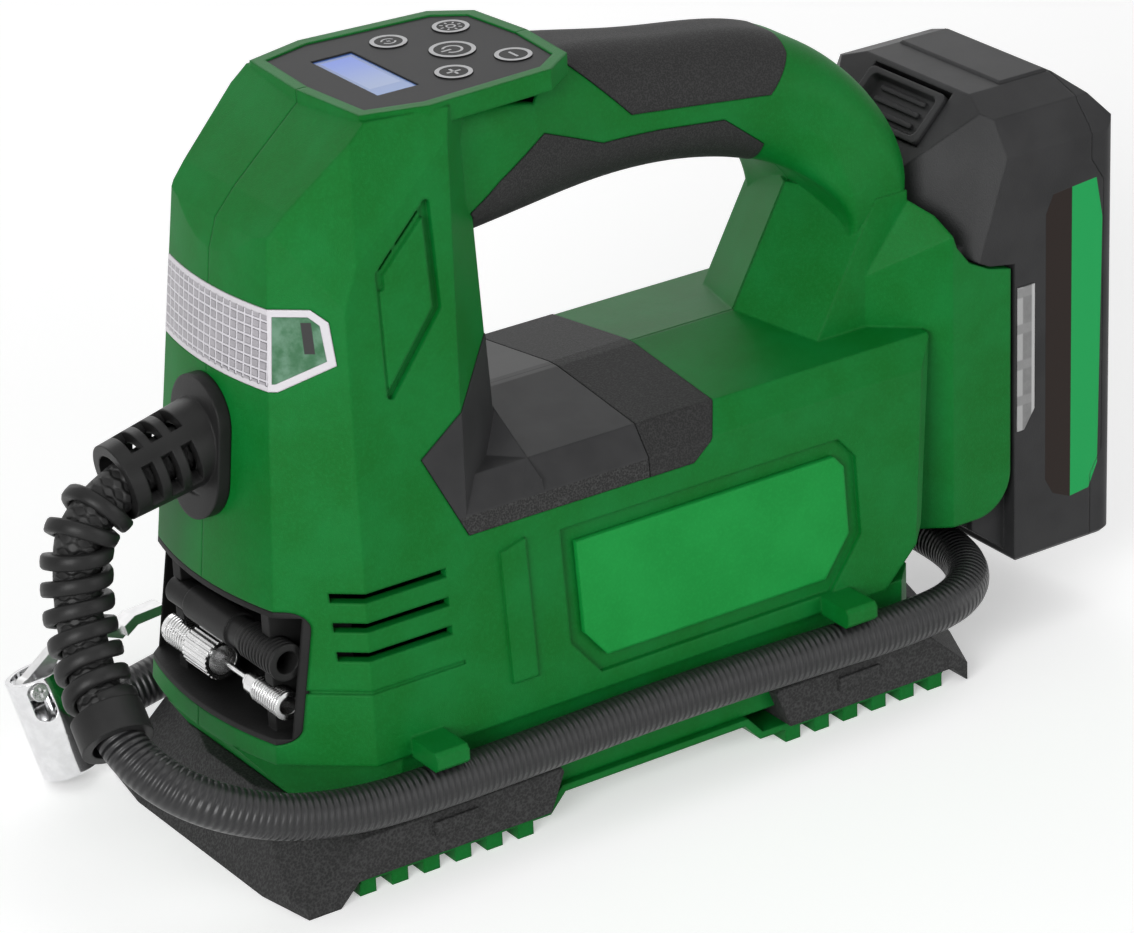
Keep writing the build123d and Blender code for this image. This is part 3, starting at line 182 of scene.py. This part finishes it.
def hose_tube(name, line, radius, around):
    """A tube along a line, with UVs: metres along and turns around."""
    steps = stations(line)
    verts = []
    for point, _, side, up, _ in steps:
        for k in range(around):
            turn = 2 * math.pi * k / around
            verts.append(point + side * (radius * math.cos(turn)) + up * (radius * math.sin(turn)))
    piece = mesh_piece(name, verts, tube_faces(len(steps), around))
    uvs = []
    for before, after in zip(steps, steps[1:]):
        for k in range(around):
            low = k / around
            high = (k + 1) / around
            uvs += [(before[4], low), (before[4], high), (after[4], high), (after[4], low)]
    uvs += [(0, 0)] * around + [(steps[-1][4], 0)] * around
    layer = piece.data.uv_layers.new(name="along")
    for loop, uv in zip(layer.data, uvs):
        loop.uv = uv
    return piece


hose_line = resample(spline_points([at(*p) for p in ROUTE], resolution=24), step=0.0015)
hose = hose_tube("air_hose", hose_line, HOSE_D / 2, around=24)
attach(hose, "body")
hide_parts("hose")


# ---------------------------------------------------------------- spiral guard
def squared(value):
    """A sine or cosine pushed outwards, for a rounded oblong in place of an ellipse."""
    return math.copysign(abs(value) ** 0.62, value)


def spiral_guard(line, turns, radius, wide, thick):
    """A flat rounded band wound round the hose."""
    per_turn = 28
    corners = 12
    steps = stations(line)
    total = steps[-1][4]
    count = int(turns * per_turn)
    section = []
    for k in range(corners):
        turn = 2 * math.pi * k / corners
        section.append((squared(math.cos(turn)) * wide / 2, squared(math.sin(turn)) * thick / 2))
    verts = []
    k = 0
    for i in range(count + 1):
        goal = total * i / count
        while k < len(steps) - 2 and steps[k + 1][4] < goal:
            k += 1
        before = steps[k]
        after = steps[k + 1]
        part = min(1.0, (goal - before[4]) / (after[4] - before[4]))
        centre = before[0].lerp(after[0], part)
        tangent = before[1].lerp(after[1], part).normalized()
        side = before[2].lerp(after[2], part)
        side = (side - tangent * side.dot(tangent)).normalized()
        turn = 2 * math.pi * turns * i / count
        out = side * math.cos(turn) + tangent.cross(side) * math.sin(turn)
        for across, lift in section:
            verts.append(centre + out * (radius + lift) + tangent * across)
    return mesh_piece("spiral_guard", verts, tube_faces(count + 1, corners))


def nearest(line, point):
    """Index of the point of a line that lies nearest."""
    return min(range(len(line)), key=lambda i: (line[i] - point).length)


ferrule_low, ferrule_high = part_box("hose_ferrule")
hose_front = hose_line[:160]  # from the outlet to the near side
guard_start = nearest(hose_front, at(*outlet_at(CAGE_MOUTH)))
guard_stop = nearest(hose_front, (ferrule_low + ferrule_high) / 2) - 3
guard_end = guard_stop * (hose_line[1] - hose_line[0]).length
guard = spiral_guard(hose_front[guard_start:guard_stop], turns=8.6, radius=0.0080, wide=0.0043, thick=0.0032)
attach(guard, "body")
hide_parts("hose_guard")


# ---------------------------------------------------------------- finishes
class Tone:
    """A shader value with ordinary arithmetic: it stands for one socket of one node tree."""

    def __init__(self, maker, socket):
        self.maker = maker
        self.socket = socket

    def maths(self, operation, *others):
        values = dict(enumerate((self, *others)))
        return self.maker.value("ShaderNodeMath", {"operation": operation}, values)

    def __add__(self, other):
        return self.maths("ADD", other)

    def __sub__(self, other):
        return self.maths("SUBTRACT", other)

    def __mul__(self, other):
        return self.maths("MULTIPLY", other)

    def __rsub__(self, other):
        return self * -1.0 + other

    __radd__ = __add__
    __rmul__ = __mul__

    def size(self):
        """The value without its sign."""
        return self.maths("ABSOLUTE")

    def wave(self):
        return self.maths("SINE")

    def part(self):
        """What is left over a whole number."""
        return self.maths("FRACT")

    def most(self, other):
        """The larger of two."""
        return self.maths("MAXIMUM", other)

    def ramp(self, low, high):
        """0 at low and 1 at high, smooth between."""
        values = {"Value": self, "From Min": low, "From Max": high}
        return self.maker.value("ShaderNodeMapRange", {"interpolation_type": "SMOOTHSTEP"}, values)


class Maker:
    """Makes and joins the nodes of one tree."""

    def __init__(self, tree):
        self.tree = tree
        self.tree.nodes.clear()

    def node(self, kind, settings=None, values=None):
        """A node of a kind: its settings first, then the values or links of its sockets."""
        node = self.tree.nodes.new(kind)
        for name, setting in (settings or {}).items():
            setattr(node, name, setting)
        for key, value in (values or {}).items():
            self.feed(node.inputs[key], value)
        return node

    def feed(self, slot, value):
        if isinstance(value, Tone):
            self.tree.links.new(value.socket, slot)
        elif isinstance(value, tuple) and slot.type == "RGBA":
            slot.default_value = (*value, 1.0)
        else:
            slot.default_value = value

    def value(self, kind, settings=None, values=None, output=0):
        return Tone(self, self.node(kind, settings, values).outputs[output])


class Finish(Maker):
    """The finish of one material, on one Principled shader."""

    def __init__(self, name):
        self.mat = bpy.data.materials.new(name)
        self.mat.use_nodes = True
        super().__init__(self.mat.node_tree)
        self.shader = self.node("ShaderNodeBsdfPrincipled")
        self.node("ShaderNodeOutputMaterial", {}, {0: Tone(self, self.shader.outputs[0])})
        self.place = self.value("ShaderNodeTexCoord", {}, {}, "Object")
        split = self.node("ShaderNodeSeparateXYZ", {}, {0: self.place})
        self.x = Tone(self, split.outputs[0])
        self.y = Tone(self, split.outputs[1])
        self.z = Tone(self, split.outputs[2])

    def set(self, values):
        for name, value in values.items():
            self.feed(self.shader.inputs[name], value)

    def noise(self, per_metre, detail=3.0, rough=0.55):
        values = {"Vector": self.place, "Scale": per_metre, "Detail": detail, "Roughness": rough}
        return self.value("ShaderNodeTexNoise", {}, values)

    def pebbles(self, per_metre):
        return self.value("ShaderNodeTexVoronoi", {}, {"Vector": self.place, "Scale": per_metre})

    def mix(self, share, plain, other):
        return self.value("ShaderNodeMix", {"data_type": "RGBA"}, {0: share, 6: plain, 7: other}, 2)

    def facing(self, direction):
        """How much the surface faces a direction, 1 for fully."""
        normal = self.value("ShaderNodeNewGeometry", {}, {}, "True Normal")
        return self.value("ShaderNodeVectorMath", {"operation": "DOT_PRODUCT"}, {0: normal, 1: direction}, 1)

    def relief(self, height, depth, edge=0.0):
        """Bump of a depth in metres, over edges rounded by a radius."""
        values = {"Height": height, "Distance": depth, "Strength": 1.0}
        if edge:
            values["Normal"] = self.value("ShaderNodeBevel", {"samples": 4}, {"Radius": edge})
        self.set({"Normal": self.value("ShaderNodeBump", {}, values)})

    def within(self, across, up, outline, soft=0.0001):
        """1 inside a convex outline given anticlockwise in two of the coordinates."""
        inside = None
        for (x0, z0), (x1, z1) in zip(outline, outline[1:] + outline[:1]):
            long = math.hypot(x1 - x0, z1 - z0)
            east = (z0 - z1) / long
            north = (x1 - x0) / long
            depth = across * east + up * north - (x0 * east + z0 * north)
            side = depth.ramp(-soft, soft)
            inside = side if inside is None else inside * side
        return inside


def millimetres(outline):
    """A side-view outline in millimetres about the middle of the base, in metres of the row."""
    return [(x / 1000 - SHIFT, z / 1000) for x, z in outline]


def shell_green(name, deep, fresh, grain=0.00006):
    """Painted moulding: soft colour clouds and a fine even grain."""
    f = Finish(name)
    cloud = f.noise(45, 4.0, 0.6)
    fine = f.noise(1200, 3.0, 0.6)
    speck = f.noise(3200, 2.0)
    base = f.mix(cloud.ramp(0.3, 0.75), deep, fresh)
    light = tuple(1.25 * c + 0.003 for c in fresh)
    f.set({
        "Base Color": f.mix(fine.ramp(0.4, 0.8) * 0.35, base, light),
        "Roughness": 0.42 + 0.12 * fine,
        "Specular IOR Level": 0.14,
    })
    f.relief(speck + 0.6 * cloud, grain, 0.0011)
    return f.mat


def dark_plastic(name, shade, rough=0.45, grain=0.00003, edge=0.0008, hue=(1, 1, 1), shine=PLASTIC_SHINE):
    """Plain dark moulding with a fine grain."""
    f = Finish(name)
    cloud = f.noise(70)
    fine = f.noise(1500, 3.0, 0.6)
    low = tuple(shade * 0.8 * h for h in hue)
    high = tuple(shade * 1.2 * h for h in hue)
    f.set({
        "Base Color": f.mix(cloud.ramp(0.3, 0.7), low, high),
        "Roughness": rough + 0.12 * fine,
        "Specular IOR Level": shine,
    })
    f.relief(fine, grain, edge)
    return f.mat


def pebbled(name, shade, size, depth):
    """Dark moulded pebble grain, as on a bumper or a grip."""
    f = Finish(name)
    height = 0.7 * f.noise(size * 1.7, 3.0, 0.65) + 0.6 * f.pebbles(size)
    low = tuple([shade * 0.6] * 3)
    high = tuple([shade * 1.7] * 3)
    grain = f.mix(height.ramp(0.5, 0.9), low, high)
    f.set({
        "Base Color": f.mix(0.4 * f.noise(60), grain, (shade, shade, shade * 1.03)),
        "Roughness": 0.6,
        "Specular IOR Level": PLASTIC_SHINE,
    })
    f.relief(height, depth, 0.0009)
    return f.mat


def bright_metal(name, colour, rough, scratch):
    """Plated or bare metal with faint wear."""
    f = Finish(name)
    wide = f.noise(260, 3.0, 0.6)
    fine = f.noise(2400, 2.0)
    dull = tuple(0.9 * c for c in colour)
    f.set({
        "Base Color": f.mix(wide.ramp(0.35, 0.7), dull, colour),
        "Metallic": 1.0,
        "Roughness": rough + scratch * wide,
    })
    f.relief(wide + 0.4 * fine, 0.00001, 0.0004)
    return f.mat


def give(mat, *names):
    """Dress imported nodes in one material."""
    for name in names:
        slots = nodes[name].data.materials
        slots.clear()
        slots.append(mat)


green = shell_green("green_shell", (0.0006, 0.118, 0.012), (0.0022, 0.150, 0.024))
give(green, "housing_left", "housing_right", "tread_plate")
badge = shell_green("badge_green", (0.004, 0.225, 0.034), (0.007, 0.262, 0.044), 0.00003)
give(badge, "badge_left", "badge_right")
give(pebbled("bumper_grain", 0.030, 1300, 0.00016), "bumper_front", "bumper_rear")
give(pebbled("grip_grain", 0.021, 2100, 0.00009), "grip_top", "grip_under")
give(dark_plastic("liner_plastic", 0.010, 0.5, grain=0.00006), "nook_liner")
give(dark_plastic("cage_plastic", 0.013, 0.34), "hose_flange")
give(dark_plastic("nozzle_plastic", 0.014, 0.36), "nozzle_cone")
give(dark_plastic("ferrule_plastic", 0.018, 0.38), "hose_ferrule")
guard.data.materials.append(dark_plastic("guard_plastic", 0.016, 0.34, edge=0.0))
give(bright_metal("chrome_plate", (0.80, 0.80, 0.81), 0.06, 0.04), "chuck_body", "chuck_ferrule")
give(bright_metal("lever_plate", (0.70, 0.70, 0.70), 0.24, 0.12), "chuck_lever")
adapter_metal = bright_metal("adapter_plate", (0.80, 0.80, 0.80), 0.16, 0.08)
give(adapter_metal, "adapter_valve", "needle_ball", "chuck_pin")
give(dark_plastic("seal_rubber", 0.015, 0.7), "chuck_seal")
give(bright_metal("screw_steel", (0.55, 0.55, 0.55), 0.30, 0.10), "shell_screws", "base_screws")


def saddle_plastic():
    """Pebbled rim and rear, smooth satin cheeks and top."""
    rim_top = 0.0963
    f = Finish("saddle_plastic")
    grain = 0.7 * f.noise(2800, 3.0, 0.65) + 0.6 * f.pebbles(1900)
    smooth = (f.z - rim_top).ramp(0.0, 0.0002)
    seam = f.y.size().ramp(0.00035, 0.00015)
    rough = f.mix(grain.ramp(0.5, 0.9), (0.015, 0.015, 0.015), (0.046, 0.046, 0.046))
    satin = f.mix(f.noise(80).ramp(0.3, 0.7), (0.022, 0.022, 0.023), (0.030, 0.030, 0.031))
    base = f.mix(seam, f.mix(smooth, rough, satin), (0.002, 0.002, 0.002))
    f.set({"Base Color": base, "Roughness": 0.60 - 0.14 * smooth, "Specular IOR Level": PLASTIC_SHINE})
    f.relief(grain * (1.0 - 0.92 * smooth), 0.00010, 0.0007)
    return f.mat


give(saddle_plastic(), "saddle_cover")
give(pebbled("pad_grain", 0.021, 1900, 0.00010), "saddle_pad")


def hose_rubber():
    """Fine spiral ribs with a painted highlight on their crests, and bare braid under the guard."""
    rib_pitch = 0.0019
    braid_pitch = 0.0058
    strands = 8 * math.pi
    f = Finish("hose_rubber")
    split = f.node("ShaderNodeSeparateXYZ", {}, {0: f.value("ShaderNodeTexCoord", {}, {}, "UV")})
    along = Tone(f, split.outputs[0])
    around = Tone(f, split.outputs[1])
    ribs = (along * (2 * math.pi / rib_pitch) + around * (2 * math.pi)).wave()
    left = (along * (2 * math.pi / braid_pitch) + around * strands).wave()
    right = (along * (2 * math.pi / braid_pitch) - around * strands).wave()
    braid = (left * right).ramp(-0.4, 0.6)
    bare = (along - guard_end).ramp(0.0, -0.003)
    base = f.mix(f.noise(120, 2.0), (0.010, 0.010, 0.011), (0.018, 0.018, 0.019))
    # Rib crests painted lighter: a painted highlight that stands in for the rubber's sheen.
    base = f.mix(ribs.ramp(0.0, 1.0) * 0.5, base, (0.034, 0.034, 0.034))
    woven = f.mix(braid, (0.003, 0.003, 0.003), (0.022, 0.022, 0.022))
    f.set({
        "Base Color": f.mix(bare, base, woven),
        "Roughness": 0.36 + 0.20 * bare,
        "Specular IOR Level": 0.38,
    })
    f.relief(0.5 * ribs * (1.0 - bare) + 1.4 * braid * bare, 0.00035)
    return f.mat


hose.data.materials.append(hose_rubber())


def panel_satin():
    """Flat satin front of the display panel."""
    f = Finish("panel_satin")
    fine = f.noise(3000, 2.0)
    f.set({
        "Base Color": f.mix(f.noise(30), (0.019, 0.019, 0.020), (0.027, 0.027, 0.028)),
        "Roughness": 0.40 + 0.10 * fine,
        "Specular IOR Level": 0.06,
    })
    f.relief(fine, 0.00002, 0.0006)
    return f.mat


keys = ["power", "unit", "lamp", "minus", "plus"]
give(panel_satin(), "display_panel")
give(dark_plastic("key_plastic", 0.012, 0.34, edge=0.0005, shine=0.05), *["button_" + key for key in keys])


def screen_blue():
    """Lit display: deep blue at the far end, paler toward the near end with a painted sheen, in soft steps.
    """
    f = Finish("screen_blue")
    low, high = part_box("display_screen")
    along = (f.y - low.y) * (1 / (high.y - low.y))
    across = (f.x - low.x) * (1 / (high.x - low.x))
    rim = (across - 0.5).size().ramp(0.36, 0.40).most((along - 0.56).size().ramp(0.36, 0.39))
    # The pale near end is a painted sheen; the glow colour carries it into the base colour and the emission.
    glow = f.mix(along.ramp(0.15, 1.0), (0.20, 0.28, 0.50), (0.035, 0.13, 0.60))
    glow = f.mix(rim * 0.65, glow, f.mix(along, (0.09, 0.19, 0.48), (0.04, 0.08, 0.18)))
    f.set({
        "Base Color": glow,
        "Roughness": 0.15,
        "Specular IOR Level": PLASTIC_SHINE,
        "Emission Color": glow,
        "Emission Strength": 0.18,
    })
    return f.mat


give(screen_blue(), "display_screen")


def lens_prism():
    """Moulded light grid on the nose, a clear window with its dark contact at each end."""
    row_pitch = 0.00265
    column_pitch = 0.0030
    f = Finish("lens_prism")
    low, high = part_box("lamp_lens")
    middle = (low.z + high.z) / 2
    half = (high.z - low.z) / 2
    rows = ((f.z - low.z) * (1 / row_pitch)).part()
    columns = (f.y * (1 / column_pitch) + 0.5).part()
    ridge = (rows - 0.5).size().ramp(0.30, 0.42).most((columns - 0.5).size().ramp(0.32, 0.44))
    border = (f.z - middle).size().ramp(half - 0.0017, half - 0.0012)
    pane = [(-97.6, 140.5), (-96.9, 140.5), (-86.2, 146.7), (-86.7, 156.1), (-88.8, 158.3), (-95.8, 158.3)]
    contact = [(-90.4, 148.6), (-88.3, 148.6), (-88.3, 156.9), (-90.4, 156.9)]
    end = f.facing((0, 1, 0)).size().ramp(0.4, 0.5)
    window = end * f.within(f.x, f.z, millimetres(pane))
    slot = end * f.within(f.x, f.z, millimetres(contact))
    pattern = ridge * (1.0 - border) * (1.0 - end)
    cell = f.mix(f.noise(160), (0.26, 0.25, 0.27), (0.42, 0.40, 0.43))
    base = f.mix(pattern, cell, (0.62, 0.60, 0.64))
    base = f.mix(border.most(end), base, (0.60, 0.58, 0.61))
    haze = f.mix(f.noise(240, 4.0).ramp(0.35, 0.75), (0.010, 0.105, 0.032), (0.10, 0.22, 0.14))
    base = f.mix(window, base, haze)
    base = f.mix(slot, base, (0.004, 0.004, 0.004))
    f.set({"Base Color": base, "Roughness": 0.20 + 0.1 * window, "Specular IOR Level": 0.5})
    f.relief(pattern + (1.0 - window) * 0.5, 0.0005, 0.0005)
    return f.mat


give(lens_prism(), "lamp_lens")


def pack_plastic():
    """Dark pack with a bare two-colour plate on each side."""
    side_half = 0.0398
    colour_change = 0.1545
    f = Finish("pack_plastic")
    fine = f.noise(2400, 3.0, 0.6)
    plate = millimetres([
        (145.3, 48.1), (148.2, 43.1), (154.2, 40.4), (161.3, 41.2), (164.5, 48.2),
        (165.6, 123.9), (163.3, 136.2), (147.8, 134.9), (145.1, 129.5),
    ])
    side = (f.y.size() - side_half).ramp(0.0, 0.0002)
    mark = side * f.within(f.x, f.z, plate)
    rear = (f.x - (colour_change - SHIFT)).ramp(-0.0001, 0.0001)
    colour = f.mix(rear, (0.012, 0.006, 0.004), (0.006, 0.315, 0.075))
    body = f.mix(f.noise(60).ramp(0.3, 0.7), (0.018, 0.018, 0.019), (0.026, 0.026, 0.027))
    f.set({
        "Base Color": f.mix(mark, body, colour),
        "Roughness": 0.42 - 0.12 * mark + 0.1 * fine,
        "Specular IOR Level": PLASTIC_SHINE,
    })
    f.relief(fine * (1.0 - mark) + 2.0 * mark, 0.00005, 0.0010)
    return f.mat


give(pack_plastic(), "battery_case", "battery_cap", "battery_latch")


def gauge_clear():
    """Clear window over four light cells."""
    cells = 4
    f = Finish("gauge_clear")
    low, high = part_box("battery_gauge")
    count = ((f.z - low.z) * (cells / (high.z - low.z)) + 0.15).part()
    gap = (count - 0.5).size().ramp(0.34, 0.40)
    front = (f.x - low.x).ramp(0.0022, 0.0016)
    rim = (f.x - high.x).ramp(-0.0014, -0.0008)
    base = f.mix(f.noise(420), (0.13, 0.13, 0.13), (0.21, 0.21, 0.21))
    base = f.mix(front * (1.0 - gap), base, (0.34, 0.34, 0.34))
    base = f.mix(gap * 0.5, base, (0.26, 0.26, 0.26))
    base = f.mix(rim, base, (0.42, 0.42, 0.42))
    f.set({"Base Color": base, "Roughness": 0.18, "Specular IOR Level": 0.5})
    f.relief(f.noise(1200), 0.0001, 0.0004)
    return f.mat


give(gauge_clear(), "battery_gauge")


def board_green():
    """Circuit board with faint tracks."""
    f = Finish("board_green")
    f.set({
        "Base Color": f.mix(f.noise(400).ramp(0.45, 0.6), (0.01, 0.09, 0.03), (0.02, 0.14, 0.05)),
        "Roughness": 0.35,
    })
    f.relief(f.pebbles(500), 0.0001)
    return f.mat


give(board_green(), "control_board", "lamp_board")
give(dark_plastic("inner_plastic", 0.10, 0.55), "cell_holder", "battery_terminals", "motor_cap")
give(bright_metal("contact_brass", (0.72, 0.56, 0.25), 0.25, 0.05), "dock_terminals")
give(bright_metal("motor_steel", (0.50, 0.50, 0.50), 0.32, 0.15), "motor_can", "motor_rotor", "crank_gear")
cast_parts = ["gearbox_frame", "cylinder", "cylinder_head", "piston_rod"]
give(bright_metal("cast_light", (0.62, 0.62, 0.63), 0.45, 0.20), *cast_parts)
give(dark_plastic("cell_wrap", 0.16, 0.35, hue=(0.35, 0.9, 1.3)), "battery_cells")
give(dark_plastic("tube_rubber", 0.04, 0.5), "air_tube")


# ---------------------------------------------------------------- key symbols
def ring(cx, cy, inner, outer, start=0, stop=360, steps=40):
    """A flat ring, or part of one, as quads."""
    quads = []
    for k in range(steps):
        a = math.radians(start + (stop - start) * k / steps)
        b = math.radians(start + (stop - start) * (k + 1) / steps)
        corners = [(inner, a), (outer, a), (outer, b), (inner, b)]
        quads.append([(cx + r * math.cos(t), cy + r * math.sin(t)) for r, t in corners])
    return quads


def bar(cx, cy, long, wide, turn=0, off=0.0):
    """A flat bar turned about a centre, in degrees, and moved out along itself."""
    c = math.cos(math.radians(turn))
    s = math.sin(math.radians(turn))
    ends = [off - long / 2, off + long / 2]
    corners = [(ends[0], -wide / 2), (ends[1], -wide / 2), (ends[1], wide / 2), (ends[0], wide / 2)]
    return [(cx + c * u - s * v, cy + s * u + c * v) for u, v in corners]


def symbol_shapes(kind, cx, cy):
    """The generic symbol of a key, as flat outlines."""
    line = 0.00075
    stroke = 0.0042
    if kind == "minus":
        return [bar(cx, cy, stroke, line, 90)]
    if kind == "plus":
        return [bar(cx, cy, stroke, line, 90), bar(cx, cy, stroke, line, 0)]
    if kind == "power":
        return ring(cx, cy, 0.0022, 0.0029, 215, 505) + [bar(cx, cy, 0.0030, line, 180, 0.0019)]
    if kind == "lamp":
        rays = [bar(cx, cy, 0.0010, 0.0005, 45 * k, 0.0026) for k in range(8)]
        return ring(cx, cy, 0.0009, 0.0014, steps=24) + rays
    arcs = ring(cx, cy, 0.0016, 0.0021, 20, 160, 20) + ring(cx, cy, 0.0016, 0.0021, 200, 340, 20)
    return arcs + [bar(cx, cy, 0.0012, 0.0005, 40), bar(cx, cy, 0.0012, 0.0005, 130)]


def symbol_ink():
    """Pale print on the keys."""
    f = Finish("symbol_ink")
    f.set({"Base Color": f.mix(f.noise(3000), (0.36, 0.36, 0.37), (0.46, 0.46, 0.47)), "Roughness": 0.45})
    f.relief(f.noise(4000, 2.0), 0.00001)
    return f.mat


PRINT_LIFT = 0.00003  # of the print above its key
ink = symbol_ink()
for key in keys:
    low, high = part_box("button_" + key)
    cx = (low.x + high.x) / 2
    cy = (low.y + high.y) / 2
    rim = (high.x - low.x) / 2
    verts = []
    faces = []
    for outline in ring(cx, cy, rim - 0.0018, rim - 0.0006, steps=48) + symbol_shapes(key, cx, cy):
        faces.append(tuple(range(len(verts), len(verts) + len(outline))))
        verts += [(x, y, high.z + PRINT_LIFT) for x, y in outline]
    symbol = mesh_piece("symbol_" + key, verts, faces)
    symbol.data.materials.append(ink)
    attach(symbol, "key_" + key)


# ---------------------------------------------------------------- floor, light and world
def flat_card(name, centre, target, wide, high, mat):
    """A flat sheet facing a point."""
    verts = [(x * wide / 2, y * high / 2, 0) for x, y in ((-1, -1), (1, -1), (1, 1), (-1, 1))]
    card = mesh_piece(name, verts, [(0, 1, 2, 3)], 0)
    card.location = centre
    card.rotation_euler = (Vector(target) - Vector(centre)).to_track_quat("Z", "Y").to_euler()
    card.data.materials.append(mat)
    return card


def seen_plainly(maker):
    """1 for what the camera, mirrors and glass show, 0 for the light it gives."""
    path = maker.node("ShaderNodeLightPath")
    seen = Tone(maker, path.outputs["Is Camera Ray"])
    seen = seen.most(Tone(maker, path.outputs["Is Glossy Ray"]))
    return seen.most(Tone(maker, path.outputs["Is Transmission Ray"]))


def stage_paint(name, low, high, glow):
    """Matt paint of the floor and the cards, with a glow that gives no light."""
    f = Finish(name)
    f.set({
        "Base Color": f.mix(f.noise(3, 2.0), low, high),
        "Roughness": 0.9,
        "Specular IOR Level": 0.1,
        "Emission Color": f.mix(seen_plainly(f), (0, 0, 0), (glow, glow, glow)),
        "Emission Strength": 1.0,
    })
    return f.mat


floor_pale = stage_paint("floor_pale", (0.86, 0.86, 0.86), (0.90, 0.90, 0.90), 0.38)
flat_card("floor", (0, 0, 0), (0, 0, 1), 12, 12, floor_pale)
# Two dark cards stand in the chrome only.
card_dark = stage_paint("card_dark", (0.010, 0.010, 0.010), (0.016, 0.016, 0.016), 0.0)
for place, wide in (((0.02, -0.95, 0.35), 0.22), ((-1.15, 0.10, 0.35), 0.30)):
    card = flat_card("dark_card", place, (-0.15, 0.06, 0.06), wide, 1.2, card_dark)
    card.visible_camera = False
    card.visible_diffuse = False
    card.visible_shadow = False


def lamp(name, place, target, wide, high, power):
    """A soft rectangular light, in watts."""
    data = bpy.data.lights.new(name, "AREA")
    data.shape = "RECTANGLE"
    data.size = wide
    data.size_y = high
    data.energy = power
    obj = link(bpy.data.objects.new(name, data))
    obj.location = place
    obj.rotation_euler = (Vector(target) - Vector(place)).to_track_quat("-Z", "Y").to_euler()


lamp("key", (-2.1, -1.35, 0.95), (0, 0, 0.1), 1.2, 1.2, 48)
lamp("top", (0.2, -0.2, 2.0), (0, 0, 0.1), 1.4, 1.2, 5)
lamp("side", (0.9, -2.2, 0.8), (0, 0, 0.1), 1.2, 1.4, 15)
lamp("rear", (0.4, 1.6, 1.0), (0, 0, 0.12), 1.4, 1.0, 6)

world = bpy.data.worlds.new("studio")
scene.world = world
world.use_nodes = True
sky = Maker(world.node_tree)
soft = sky.value("ShaderNodeBackground", {}, {"Color": (1, 1, 1), "Strength": 0.28})
plain = sky.value("ShaderNodeBackground", {}, {"Color": (1, 1, 1), "Strength": 1.0})
both = sky.value("ShaderNodeMixShader", {}, {0: seen_plainly(sky), 1: soft, 2: plain})
sky.node("ShaderNodeOutputWorld", {}, {0: both})

scene.view_settings.view_transform = "Standard"

bpy.context.view_layer.update()
